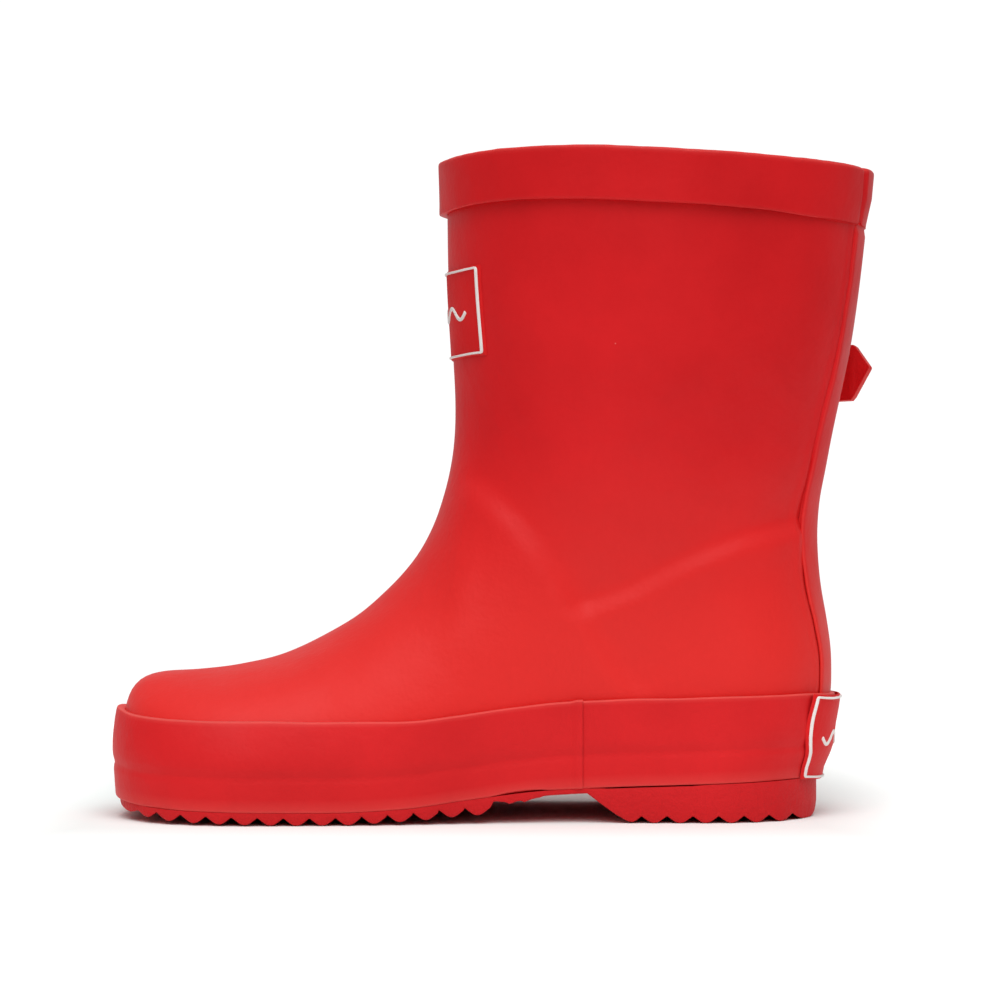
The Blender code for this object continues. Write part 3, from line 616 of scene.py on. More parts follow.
def spread_level(in_front, behind):
    """A level that runs at one height over the vamp and at another behind it."""

    def level(x):
        share = ease((x + 20) / 40)
        return level_at(in_front)(x) * (1 - share) + level_at(behind)(x) * share

    return level


def upper_levels():
    """Levels up the boot, spaced along the shallow top of the vamp in front, and evenly behind."""
    rows = fine_heights(23.0, RIM_HEIGHT, 1.5)
    evenly = np.linspace(rows[0], rows[-1], len(rows))
    levels = [level_at(height) for height in (7.5, 14, 20)]
    return levels + [spread_level(in_front, behind) for in_front, behind in zip(rows, evenly)]


def make_upper():
    outer = np.array([Skin(0).loop(level, COLUMNS) for level in upper_levels()])
    inner = np.array([Skin(SHELL).loop(level, COLUMNS) for level in upper_levels()])
    normal = normals_of(outer)
    pushed = normal * upper_relief(outer)[:, :, None] + normal * [1, 1, 0] * ply_steps(outer)[:, :, None]
    piece = ring("upper", np.concatenate([outer + pushed, inner[::-1]]))
    finish_piece(piece, "red_rubber", "upper_shell")


def lining_loops(extra):
    """Loops up the lining's outer face, moved in by extra. The plies keep it further in below the ankle."""
    over, under = Skin(SHELL + 0.1 + extra), Skin(SHELL + PLIES + extra)
    bottom = 9.5 + extra
    loops = []
    for height in np.concatenate([[bottom, bottom + 1.2, 14, 20], fine_heights(24, RIM_HEIGHT + 0.4, 2.5)]):
        share = ease((96 - height) / 14)
        level = level_at(height)
        loops.append(over.loop(level, 48) * (1 - share) + under.loop(level, 48) * share)
    return np.array(loops)


def make_lining():
    inner = lining_loops(LINING)
    inner = inner + normals_of(inner) * (0.12 * rolling(inner, 9.0, 4.0))[:, :, None]
    piece = cup("lining_sock", np.concatenate([lining_loops(0), inner[::-1]]))
    finish_piece(piece, "cotton_lining", "lining")


# Each point is (how far in from the edge, how far above the base), from the underside up round the edge.
FOOTBED_SECTION = [
    (1.2, 5.0), (0.3, 5.2), (0.0, 6.2), (0.1, 7.4), (0.5, 8.0), (1.5, 8.4), (4.0, 8.35), (9.0, 8.1),
    (15.0, 8.0), (20.0, 8.0),
]
FOOTBED_MIDDLE = -6.0


def make_footbed():
    skin = Skin(SHELL + PLIES + LINING + 0.5)
    rows = []
    for inward, up in FOOTBED_SECTION:
        loop = skin.loop(above_base(up), 36)
        middle = np.stack([loop[:, 0], CENTRE_LINE(loop[:, 0]), loop[:, 2]], axis=1)
        half = np.maximum(np.abs(loop[:, 1] - middle[:, 1]), 0.1)
        loop = middle + (loop - middle) * np.clip(1 - inward / half, 0.02, 1)[:, None]
        to_middle = FOOTBED_MIDDLE - loop[:, 0]
        loop[:, 0] += np.clip(to_middle, -inward, inward) * ease(np.abs(to_middle) / 60)
        rows.append(loop)
    piece = cup("insole", np.array(rows))
    finish_piece(piece, "footbed_foam", "footbed")


# ---- Bands ----
def band_level(height):
    """Level of the top band, which follows the rim at the top and BAND_RISE at its lower edge."""
    share = np.clip((RIM_HEIGHT - height) / BAND_HEIGHT, 0, 1)
    return lambda x: level_at(height)(x) + BAND_RISE(x) * share


FOLD_HALF_WIDTH = 12.4


def make_top_band():
    low, top = RIM_HEIGHT - BAND_HEIGHT, RIM_HEIGHT
    # Each point is (how far out, height, cut edge paleness, which is partly a painted highlight).
    section = [
        (0.05, low + 0.1, 0.0), (0.9, low, 0.0), (1.6, low, 0.0), (1.78, low + 0.08, 0.1),
        (1.85, low + 0.25, 0.1), (1.85, low + 0.9, 0.0), (1.8, low + 3.0, 0.0), (1.85, low + 7.0, 0.0),
        (1.95, top - 1.6, 0.0), (2.0, top - 0.1, 0.0), (2.0, top + 0.6, 0.1), (1.93, top + 0.95, 0.3),
        (1.75, top + 1.2, 0.4), (1.4, top + 1.38, 0.4), (0.9, top + 1.48, 0.3), (0.0, top + 1.55, 0.2),
        (-1.2, top + 1.5, 0.2), (-2.0, top + 1.25, 0.2), (-2.3, top + 0.7, 0.1), (-2.2, top + 0.45, 0.0),
        (0.05, top + 0.3, 0.0),
    ]
    grid = np.array([Skin(-out).loop(band_level(h), 240) for out, h, _ in section])
    on_face = np.array([out > 1.0 for out, _, _ in section])[:, None]
    rows = np.array([h for _, h, _ in section])[:, None]
    # The band's ends lap over the back strip, which leaves an upright fold on each side of it.
    across = np.abs(grid[:, :, 1]) - FOLD_HALF_WIDTH - 0.5 * rolling(grid, 5.0, 3.0) - 0.12 * (rows - top)
    behind = grid[:, :, 0] > 60
    fold = 0.42 * ease(0.5 - across / 0.9) - 0.45 * np.exp(-(((across - 0.7) / 0.55) ** 2))
    low_end = ease((low + 7.0 - rows) / 7.0) * ease((grid[:, :, 0] - 66) / 16)
    lift = fold * behind * (1 - 0.5 * low_end) - 0.45 * ease((grid[:, :, 0] - 40) / 30) - 0.75 * low_end
    lift += 0.10 * rolling(grid, 17.0, 5.0) + 0.05 * rolling(grid, 6.0, 2.0)
    outward = grid * [1, 1, 0] - [37.0, 0, 0]
    outward /= np.linalg.norm(outward, axis=2)[:, :, None]
    grid = grid + outward * (lift * on_face)[:, :, None]
    lower = np.array([h < low + 0.6 for _, h, _ in section])[:, None]
    upper = np.array([h > top for _, h, _ in section])[:, None]
    grid[:, :, 2] += 0.22 * rolling(grid, 13.0, 8.0) * lower
    grid[:, :, 2] += 0.7 * np.exp(-(((across - 0.4) / 0.6) ** 2)) * behind * lower
    grid[:, :, 2] -= 0.35 * np.exp(-(((across - 0.6) / 1.0) ** 2)) * behind * upper
    grid[:, :, 2] += (0.10 * rolling(grid, 9.0, 1.5) + 0.08 * rolling(grid, 3.0, 4.5)) * upper
    edge = np.repeat([e for _, _, e in section], grid.shape[1])
    finish_piece(ring("rim_band", grid, edge), "red_rubber", "top_band")


def make_back_strip():
    """The strip up the back seam."""
    across = [
        (-1.0, -0.3), (-1.0, 0.3), (-1.0, 0.5), (-1.0, 0.72), (-0.992, 0.95), (-0.975, 1.06), (-0.95, 1.1),
        (-0.9, 1.08), (-0.8, 1.0), (-0.6, 0.95), (-0.4, 0.93), (-0.2, 0.92), (0.0, 0.92),
    ]
    face_side = across + [(-s, out) for s, out in across[-2::-1]]
    glued_side = [(s, -0.3) for s in np.linspace(0.85, -0.85, 12)]
    shares, outs = np.array(face_side + glued_side).T
    outer_edge = np.abs(shares) > 0.9
    undercut = np.zeros(len(shares))
    undercut[:3] = [0.07, 0.06, 0.01]
    undercut[len(face_side) - 3 : len(face_side)] = [0.01, 0.06, 0.07]
    heights = np.linspace(28.5, RIM_HEIGHT - BAND_HEIGHT + 1.2, 74)
    face, beyond = Skin(0), Skin(-1)
    grid = []
    for h in heights:
        wander = 0.35 * noise.noise(Vector((2.0, 7.0, h / 9.0)))
        wander += 0.2 * noise.noise(Vector((5.0, 1.0, h / 3.5)))
        tucked = shares * (1 - undercut * ease((92 - h) / 24))
        distances = tucked * STRIP_HALF_WIDTH(h) + outer_edge * np.sign(shares) * wander
        near, far = face.arc(level_at(h), distances, True), beyond.arc(level_at(h), distances, True)
        thinner = 1 - 0.45 * ease((h - RIM_HEIGHT + BAND_HEIGHT + 2.0) / 2.0)
        grid.append(near + (far - near) * (outs * thinner)[:, None])
    grid = np.array(grid).transpose(1, 0, 2)
    grid = grid + (rolling(grid, 14.0, 6.0) * 0.08)[:, :, None] * [1, 0, 0]
    # The strip's raised side edges are paled a little: cut edge, and partly a painted highlight.
    on_edge = (outs > 0.8) & (outs < 0.975) & (np.abs(shares) > 0.9)
    edge = np.repeat(np.where(on_edge, 0.25, 0.0), grid.shape[1])
    finish_piece(tube("back_seam_strip", grid, edge), "red_rubber", "back_strip")


# Each point is (how far out, share of the height, offset up from there, cut edge paleness, partly a painted
# highlight), from inside the top.
FOXING_SECTION = [
    (TIGHT, 1.0, -3.0, 0.0), (TIGHT, 1.0, -0.1, 0.2), (0.5, 1.0, 0.0, 0.8), (1.45, 1.0, 0.0, 1.0),
    (1.8, 1.0, -0.04, 1.0), (2.0, 1.0, -0.2, 0.8), (2.06, 1.0, -0.42, 0.2), (2.08, 1.0, -1.2, 0.0),
    (2.1, 0.85, 0.0, 0.0), (2.18, 0.72, 0.0, 0.0), (2.22, 0.6, 0.0, 0.0), (2.18, 0.5, 0.0, 0.0),
    (2.04, 0.45, 0.0, 0.0), (1.74, 0.40, 0.0, 0.0), (1.66, 0.375, 0.0, 0.0), (1.84, 0.335, 0.0, 0.0),
    (1.94, 0.29, 0.0, 0.0), (1.92, 0.15, 0.0, 0.0), (1.9, 0.0, 0.6, 0.3), (1.84, 0.0, 0.18, 0.6),
    (1.7, 0.0, 0.02, 0.3), (TIGHT, 0.0, 0.0, 0.0), (TIGHT, 0.0, 2.0, 0.0),
]


FRONT_END = SEAM_X + 0.3


def toe_path(skin, level, count):
    """A path round the toe, with its last 4 mm on each side closely set to carry the bead over the joint."""
    path = skin.front_path(level, FRONT_END - 4.0, count)
    x = np.linspace(FRONT_END - 4.0, FRONT_END, 17)[1:]
    lateral, medial = [skin.point(x, level(x), side) for side in (LATERAL, MEDIAL)]
    return np.vstack([lateral[::-1], path, medial])


def heel_path(skin, level, count):
    return skin.back_path(level, FRONT_END + 0.06, count)


def foxing_level(share, offset):
    return lambda x: BASE_Z(x) + share * (FOXING_TOP_Z(x) - BASE_Z(x)) + offset


def foxing_grid(path_on, count):
    """The foxing's grid along a path, the way out at each of its points, and which rows are its face."""
    section = FOXING_SECTION
    grid = np.array([
        path_on(Skin(-out), foxing_level(share, up), count) for out, share, up, _ in section
    ])
    face = np.array([out > 1.2 for out, _, _, _ in section])[:, None]
    x = grid[:, :, 0]
    away = grid * [1, 1, 0] - np.stack([np.clip(x, -60, 55), CENTRE_LINE(x), 0 * x], axis=2)
    away /= np.linalg.norm(away, axis=2)[:, :, None]
    lift = 0.10 * rolling(grid, 16.0, 7.0) + 0.05 * rolling(grid, 5.0, 1.0)
    grid = grid + away * (lift * face)[:, :, None]
    top = np.array([share == 1.0 and up > -1.0 for _, share, up, _ in section])[:, None]
    grid[:, :, 2] += 0.20 * rolling(grid, 12.0, 2.0) * top
    # Under the waist the lower edge has come a little way off the sole.
    foot = np.array([share == 0.0 and out > 1.6 for out, share, _, _ in section])[:, None]
    grid[:, :, 2] += 0.5 * np.exp(-(((x - 5.0) / 5.5) ** 4)) * foot
    return grid, away, face


def finish_foxing(name, grid, node):
    edge = np.repeat([cut for _, _, _, cut in FOXING_SECTION], grid.shape[1])
    finish_piece(tube(name, grid, edge), "foxing_rubber", node)


def make_foxings():
    """The bands round the toe and the heel. The front one ends in a raised bead over the joint."""
    grid, away, face = foxing_grid(toe_path, 84)
    bead = ease((grid[:, :, 0] - FRONT_END + 3.2) / 2.4)
    grid = grid + away * (0.6 * bead * face)[:, :, None]
    grid[:, :, 2] += 0.3 * bead * (grid[:, :, 2] > FOXING_TOP_Z(grid[:, :, 0]) - 1.0)
    finish_foxing("toe_foxing", grid, "foxing_front")
    finish_foxing("heel_foxing", foxing_grid(heel_path, 70)[0], "foxing_heel")


# ---- Sole ----
TOOTH_PITCH = 5.98
TOOTH_DEPTH = 1.65
SOLE_OVERHANG = 1.75  # how far the sole's edge stands out from the upper, except at the toe and the heel


def saw(first, count, crest, depth=TOOTH_DEPTH, pitch=TOOTH_PITCH):
    """(x, z) along a row of broad, rounded teeth with pointed notches, from the first notch to the last."""
    line = []
    flank = [(0.0, 1.0), (0.04, 0.93), (0.1, 0.75), (0.2, 0.48), (0.3, 0.22), (0.4, 0.05), (0.5, 0.0)]
    tooth = flank + [(1 - u, z) for u, z in flank[-2:0:-1]]
    for i in range(count):
        low = crest(first + (i + 0.5) * pitch)
        line += [(first + (i + u) * pitch, low + z * depth) for u, z in tooth]
    return line + [(first + count * pitch, low + depth)]


class SoleEdge:
    """The sole's outline in plan, which draws in towards the tip of the toe and the back of the heel."""

    def __init__(self):
        self.wide, self.narrow = Skin(-SOLE_OVERHANG), Skin(-SOLE_OVERHANG + 1.1)
        self.front = self.narrow.ends(above_base(3.0))[0]
        self.back = self.narrow.ends(above_base(3.0))[1] - 0.65

    def sides(self, x):
        at, z = np.array(float(x)), np.array(float(BASE_Z(x)) + 3.0)
        share = float(ease((x + 91) / 12) * ease((77 - x) / 12))
        ends = []
        for side in (MEDIAL, LATERAL):
            wide, narrow = [float(skin.point(at, z, side)[1]) for skin in (self.wide, self.narrow)]
            ends.append(wide * share + narrow * (1 - share))
        return ends


def sole_piece(name, stations, outline):
    """A slab of sole, with softened edges along both sides, from stations (x, underside z, top z)."""
    shares = [-1.0, -0.995, -0.98, -0.9, -0.6, -0.2, 0.2, 0.6, 0.9, 0.98, 0.995, 1.0]
    lifts = [0.6, 0.25, 0.06, 0, 0, 0, 0, 0, 0, 0.06, 0.25, 0.6]
    grid = []
    for x, under, top in stations:
        left, right = outline.sides(x)
        middle, half = (left + right) / 2, (right - left) / 2
        column = [(x, middle + half * s, min(under + lift, top - 0.2)) for s, lift in zip(shares, lifts)]
        column += [(x, right, top), (x, middle, top), (x, left, top)]
        grid.append(column)
    return tube(name, np.array(grid).transpose(1, 0, 2), None, 38)


def tread(x):
    """Height of the teeth's crests along the front of the sole."""
    return float(TREAD_Z(x))


def make_outsole():
    outline = SoleEdge()
    toe = outline.front
    line = [(toe + 0.02, 4.9), (toe + 0.25, 4.3), (toe + 0.6, 3.6), (toe + 1.1, 3.0), (toe + 1.9, 2.6)]
    line += [(toe + 2.9, 2.2), (toe + 4.1, 2.05), (toe + 5.2, 2.3)]
    line += saw(-84.9, 1, tread, 1.25, 4.9)
    line += saw(-80.0, 13, tread)[1:]
    # The sheet under the arch, with lumps of flash left along its edge.
    for x in np.arange(-1.5, SEAM_X + 2.1, 0.9):
        lumps = 0.5 + 0.5 * noise.noise(Vector((x / 1.7, 3.0, 8.0)))
        line.append((x, float(BASE_Z(x)) - 1.3 - 1.5 * lumps * ease((x + 1) / 3) * ease((11 - x) / 5)))
    stations = [(x, min(z, float(BASE_Z(x)) - 0.9), float(BASE_Z(x)) - 0.02) for x, z in line]
    piece = sole_piece("tread_sole", stations, outline)
    finish_piece(piece, "sole_rubber", "outsole")


def heel_gap(x):
    """The gap over the heel block, which opens a little towards its front."""
    return 0.1 + 0.22 * ease((x - 22) / 4) * ease((50 - x) / 6)


def make_heel():
    outline = SoleEdge()
    back = outline.back
    line = [(SEAM_X + 1.2, 7.0), (20.6, 6.7), (21.6, 6.0), (23.4, 4.6), (25.2, 3.3), (26.9, 2.1)]
    line += [(29.0, 0.85), (30.0, 0.35), (31.0, 0.25), (31.9, 0.65), (32.5, 1.15)]
    line += saw(33.0, 6, lambda x: 0.0, 1.55, 6.02)
    line += [(69.6, 1.1), (70.4, 0.55), (71.4, 0.15), (72.4, 0.0), (back - 2.0, 0.05), (back - 1.3, 0.45)]
    line += [(back - 0.7, 1.2), (back - 0.3, 2.3), (back - 0.05, 3.6)]
    stations = [(x, z, float(BASE_Z(x)) - heel_gap(x)) for x, z in line]
    piece = sole_piece("heel_lift", stations, outline)
    finish_piece(piece, "sole_rubber", "heel_block")


# ---- Labels ----
HEEL_REACH = cubic_through([(-10.3, 1.03), (-5, 1.09), (0, 1.185), (5, 1.185), (11.3, 1.14)])
HEEL_LABEL_FALL = 1.15


def label_level(height, at_back):
    """Level of a line across a label, which lies a little lower in its middle than at its ends."""
    if at_back:
        return lambda x: height - HEEL_LABEL_FALL * ease((x - 70) / 11)
    return lambda x: height - 0.6 * ease((-5 - x) / 7)


class Wrap:
    """A flat sheet laid round the shin or the heel: u round it, v up it, h out from it."""

    def __init__(self, surface, at_back, middle_z, half_width, half_height):
        self.at_back = at_back
        self.us = np.linspace(-half_width - 1, half_width + 1, 61)
        self.vs = np.linspace(-half_height - 1, half_height + 1, 13)
        # Over the heel's bulge the patch reaches further round, so that its ends stay straight.
        reach = HEEL_REACH(self.vs) if at_back else 1 + 0 * self.vs
        self.near, self.far = [self.table(Skin(-out), middle_z, reach) for out in (surface, surface + 1)]

    def table(self, skin, middle_z, reach):
        """The skin's points at each v and u."""
        levels = [label_level(middle_z + v, self.at_back) for v in self.vs]
        return np.array([skin.arc(level, self.us * r, self.at_back) for level, r in zip(levels, reach)])

    def place(self, u, v, h):
        u, v, h = np.broadcast_arrays(np.asarray(u, float), v, h)
        i = np.clip((u - self.us[0]) / (self.us[1] - self.us[0]), 0, len(self.us) - 1.001)
        j = np.clip((v - self.vs[0]) / (self.vs[1] - self.vs[0]), 0, len(self.vs) - 1.001)
        i0, j0 = i.astype(int), j.astype(int)
        a, b = (i - i0)[..., None], (j - j0)[..., None]

        def at(table):
            low = table[j0, i0] * (1 - a) + table[j0, i0 + 1] * a
            high = table[j0 + 1, i0] * (1 - a) + table[j0 + 1, i0 + 1] * a
            return low * (1 - b) + high * b

        near = at(self.near)
        flare = 0.6 * ease((v - 2) / 7) if self.at_back else 0
        return near + (at(self.far) - near) * (h + flare)[..., None]


# A raised bead's section, as (share of the width, share of the height).
BEAD_HALF = [(-0.5, 0.0), (-0.5, 0.6), (-0.42, 0.88), (-0.2, 1.0)]
BEAD = BEAD_HALF + [(-side, up) for side, up in BEAD_HALF[::-1]]


def bead_along(wrap, line, width, low, high, closed):
    """Rows of a raised bead that follows a flat line on a wrapped sheet."""
    side = left_of(line, closed)
    return np.array([wrap.place(*(line + side * s * width).T, low + (high - low) * h) for s, h in BEAD])


def rounded_rectangle(half_w, half_h, radius):
    points = []
    for side_x, side_y, start in ((1, 1, 0), (-1, 1, 90), (-1, -1, 180), (1, -1, 270)):
        for a in np.radians(np.arange(start, start + 91, 30)):
            x = side_x * (half_w - radius) + radius * math.cos(a)
            y = side_y * (half_h - radius) + radius * math.sin(a)
            points.append((x, y))
    return filled_in(points, 0.9)


def closer_at_ends(half, count):
    """Positions from -half to half, set closely at both ends and evenly between."""
    soft = np.array([0.0, 0.08, 0.22, 0.45, 0.9])
    return np.concatenate([soft - half, np.linspace(-half + 1.8, half - 1.8, count), half - soft[::-1]])


LABEL_THICK = 0.55
BORDER_TOP = 0.95
BORDER_WIDTH = 0.54
WAVE_TOP = 0.85
WAVE_WIDTH = 0.85
WAVE_HEIGHT = 1.5


def make_label(name, surface, at_back, middle_z, half_w, half_h):
    """A rubber patch with a raised white border and a raised white wave."""
    wrap = Wrap(surface, at_back, middle_z, half_w, half_h)
    u, v = np.meshgrid(closer_at_ends(half_w, 41), closer_at_ends(half_h, 17))
    inside = np.minimum(half_w - np.abs(u), half_h - np.abs(v))
    top = wrap.place(u, v, LABEL_THICK - 0.22 * (1 - np.clip(inside / 0.45, 0, 1)) ** 2)
    bottom = wrap.place(u, v, TIGHT)
    finish_piece(sheet(f"{name}_patch", top, bottom), "label_rubber", name)

    foot = LABEL_THICK - 0.1
    line = rounded_rectangle(half_w - 0.65, half_h - 0.65, 0.5)
    border = ring(f"{name}_border", bead_along(wrap, line, BORDER_WIDTH, foot, BORDER_TOP, True))
    finish_piece(border, "white_rubber", f"{name}_frame")

    reach = half_w * 0.72
    along = np.linspace(-reach, reach, 141)
    wave = np.stack([along, WAVE_HEIGHT * np.sin(along / reach * 3 * math.pi)], axis=1)
    motif = tube(f"{name}_motif", bead_along(wrap, wave, WAVE_WIDTH, foot, WAVE_TOP, False))
    finish_piece(motif, "white_rubber", f"{name}_wave")


# ---- Strap and buckle ----
STRAP_Z = 107.0
STRAP_WIDTH = 14.0
STRAP = 1.7
BAR_RADIUS = 1.0
BUCKLE_LENGTH = 13.0
BUCKLE_SPREAD = 9.2
BAR_HEIGHT = 2.65
TAB = 1.1
TAIL_START = (3.4, 6.02)
TAIL_END = (37.75, -1.12)
TIP_SHIFT = 1.0  # the tail's point lies this far above its middle line


class StrapFrame:
    """Coordinates on the calf: s back along the strap, h out from the leg, u up the strap's width."""

    def __init__(self):
        skin = Skin(0)
        turn = math.radians(64)
        front, back = float(skin.front(STRAP_Z)), float(skin.back(STRAP_Z))
        x = (front + back) / 2 + (back - front) / 2 * math.cos(turn)
        places = ((x, STRAP_Z), (x + 0.5, STRAP_Z), (x, STRAP_Z + 1))
        here, ahead, over = (skin.point(np.array(a), np.array(b), LATERAL) for a, b in places)
        self.origin = here
        self.along = (ahead - here) / np.linalg.norm(ahead - here)
        up = over - here
        up -= self.along * (up @ self.along)
        self.up = up / np.linalg.norm(up)
        self.out = np.cross(self.up, self.along)
        xs = np.linspace(front + 1, back - 0.5, 400)
        round_leg = skin.point(xs, np.full(400, STRAP_Z), LATERAL) - here
        order = np.argsort(round_leg @ self.along)
        self.table_s, self.table_h = (round_leg @ self.along)[order], (round_leg @ self.out)[order]

    def leg(self, s):
        return np.interp(s, self.table_s, self.table_h)

    def place(self, points):
        p = np.asarray(points, float)
        return self.origin + p[..., :1] * self.along + p[..., 1:2] * self.out + p[..., 2:3] * self.up


def strap_ribbon(name, strap_frame, line, half_widths, middle, thickness):
    """A flat strap with softened edges that follows line, a list of (s, h), with its middle at u = middle."""
    line = np.asarray(line, float)
    normal = left_of(line)
    half = thickness / 2
    soft = 0.25
    corner = [(0.0, soft), (soft * 0.3, soft * 0.3), (soft, 0.0)]
    # Round the section from the lower left: (side, how far in from that side, height from the middle).
    section = [(-1, inward, -half + up) for inward, up in corner[::-1]]
    section += [(-1, inward, half - up) for inward, up in corner]
    section += [(1, inward, half - up) for inward, up in corner[::-1]]
    section += [(1, inward, -half + up) for inward, up in corner]
    grid = []
    for side, inward, out in section:
        width = side * (np.asarray(half_widths) - inward) + middle
        grid.append(strap_frame.place(np.column_stack([line + normal * out, width])))
    # The softened edges are paled: cut edge, and partly a painted highlight.
    edge = np.repeat([0.5 if inward < soft else 0.0 for _, inward, _ in section], len(line))
    return tube(name, np.array(grid), edge, 40)


def with_cuts(piece, cutters):
    """The piece with its holes cut, as a final mesh."""
    for cutter in cutters:
        cut = piece.modifiers.new("cut", "BOOLEAN")
        cut.operation = "DIFFERENCE"
        cut.solver = "EXACT"
        cut.object = cutter
    bpy.context.view_layer.update()
    final = bpy.data.meshes.new_from_object(piece.evaluated_get(bpy.context.evaluated_depsgraph_get()))
    final.set_sharp_from_angle(angle=math.radians(40))
    piece.modifiers.clear()
    piece.data = final
    for cutter in cutters:
        bpy.data.objects.remove(cutter)
    return piece


FULL_TURN = np.linspace(0, 2 * math.pi, 24, endpoint=False)


def prism(strap_frame, first, last):
    """A cutter between two outlines with the same number of (s, h, u) points."""
    count = len(first)
    faces = [tuple(range(count)), tuple(range(count, 2 * count))[::-1]]
    faces += [(i, (i + 1) % count, count + (i + 1) % count, count + i) for i in range(count)]
    return mesh_object("cutter", strap_frame.place(np.vstack([first, last])), faces)


def hole_cutter(strap_frame, middle, direction, half_length, half_width):
    """A short oval prism through the strap."""
    d = np.array(direction, float) / np.linalg.norm(direction)
    n = np.array([-d[1], d[0]])
    flat = np.array(middle) + np.outer(half_length * np.cos(FULL_TURN), d)
    across = half_width * np.sin(FULL_TURN)
    return prism(strap_frame, *(np.column_stack([flat + n * depth, across]) for depth in (-4, 4)))


def cutter_across(strap_frame, outline, reach):
    """A cutter whose section is outline, a list of (s, h), from u = -reach to u = reach."""
    return prism(strap_frame, *(np.insert(np.array(outline, float), 2, u, axis=1) for u in (-reach, reach)))


def make_strap(strap_frame):
    """One rubber strap: glued to the leg in front, over the buckle's bar, and free to its pointed end."""
    lead = [(s, float(strap_frame.leg(s)) + 0.12 + STRAP / 2) for s in (-47, -40, -33, -27, -21, -16.8)]
    lead += [(-12.8, -0.35), (-10.6, 0.1), (-7.6, 1.9), (-4.6, 4.3), (-2.2, 5.75), (0.4, 6.3), TAIL_START]
    lead = smooth_line(lead, 8)
    tail = np.linspace(TAIL_START, TAIL_END, 46)[1:]
    sag = 0.5 * np.sin(np.linspace(0, math.pi, 45))
    tail[:, 1] += sag
    line = np.vstack([lead, tail])
    run = distance_along(line)
    half = STRAP_WIDTH / 2
    width = np.interp(run[-1] - run, [0, 0.2, 4.3, 4.7], [0.35, 0.65, half - 0.15, half])
    width = np.minimum(width, np.interp(run, [0, 0.6, 1.5], [half - 1.2, half - 0.3, half]))
    middle = TIP_SHIFT * np.interp(run[-1] - run, [0, 4.6], [1, 0])
    strap = strap_ribbon("strap_band", strap_frame, line, width, middle, STRAP)
    heading = np.array(TAIL_END) - np.array(TAIL_START)
    cutters = [hole_cutter(strap_frame, (-5.2, 3.9), (0.72, 0.62), 4.9, 1.45)]
    for share in (0.22, 0.45, 0.68):
        cutters.append(hole_cutter(strap_frame, np.array(TAIL_START) + share * heading, heading, 1.9, 1.1))
    with_cuts(strap, cutters)
    finish_piece(strap, "red_rubber", "strap", "strap_tail", body=None)
    start = to_metres(strap_frame.place(np.array([(2.0, 6.1, 0.0)])))[0]
    end = to_metres(strap_frame.place(np.array([(11.0, 4.4, 0.0)])))[0]
    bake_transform(strap)


def make_tab(strap_frame):
    """The tab glued to the leg and folded round the buckle's bar, notched in the middle for the prong."""
    reach = 17.0
    inner_r = BAR_RADIUS + 0.15
    outer_r = inner_r + TAB

    def leg(s):
        return float(strap_frame.leg(s)) + 0.05

    def round_bar(radius, angles):
        return [(radius * math.cos(a), BAR_HEIGHT + radius * math.sin(a)) for a in angles]

    tip = [(reach - 0.1, leg(reach) + 0.9), (reach - 0.6, leg(reach - 0.6) + 1.7)]
    top = [(s, leg(s) + 2 * TAB) for s in np.linspace(15.2, 4.2, 12)]
    bend = round_bar(outer_r, np.radians(np.arange(50, 266, 12)))
    under = [(s, leg(s)) for s in np.linspace(1.5, reach, 14)]
    outline = tip + top + bend + under
    centre_h = np.mean(outline, axis=0)[1]
    width = STRAP_WIDTH / 2 - 0.8
    soft = 0.35
    sides = [(-width, soft), (-width + soft * 0.3, soft * 0.3), (-width + soft, 0)]
    sides += [(-u, shrink) for u, shrink in sides[::-1]]
    grid = []
    for u, shrink in sides:
        row = []
        for s, h in outline:
            away = np.array([s, h]) - [min(s, 14), centre_h if s > 4 else BAR_HEIGHT]
            away *= shrink / max(np.linalg.norm(away), 0.4)
            row.append((s - away[0], h - away[1], u))
        grid.append(row)
    grid = strap_frame.place(np.array(grid))
    rows, count = grid.shape[:2]
    faces = grid_faces(rows, count, False, True)
    faces += [tuple(range(count)), tuple(range((rows - 1) * count, rows * count))[::-1]]
    tab = mesh_object("buckle_tab", grid.reshape(-1, 3), faces, None, 40)
    bore = cutter_across(strap_frame, round_bar(inner_r, FULL_TURN), width + 1)
    notch_outline = [(s, BAR_HEIGHT + h) for s, h in ((-4.2, -4), (2.8, -4), (2.8, 4), (-4.2, 4))]
    with_cuts(tab, [bore, cutter_across(strap_frame, notch_outline, 1.7)])
    finish_piece(tab, "red_rubber", "strap_tab")


def wire_ring(strap_frame, name, line, radius, sides):
    """A closed round wire that follows a line of (s, h, u) points."""
    ahead = np.roll(line, -1, axis=0) - np.roll(line, 1, axis=0)
    ahead /= np.linalg.norm(ahead, axis=1)[:, None]
    first = np.array([0.0, 1.0, 0.0]) - ahead * ahead[:, 1:2]
    first /= np.linalg.norm(first, axis=1)[:, None]
    second = np.cross(ahead, first)
    angles = np.linspace(0, 2 * math.pi, sides, endpoint=False)
    grid = np.array([line + radius * (math.cos(a) * first + math.sin(a) * second) for a in angles])
    return ring(name, strap_frame.place(grid))


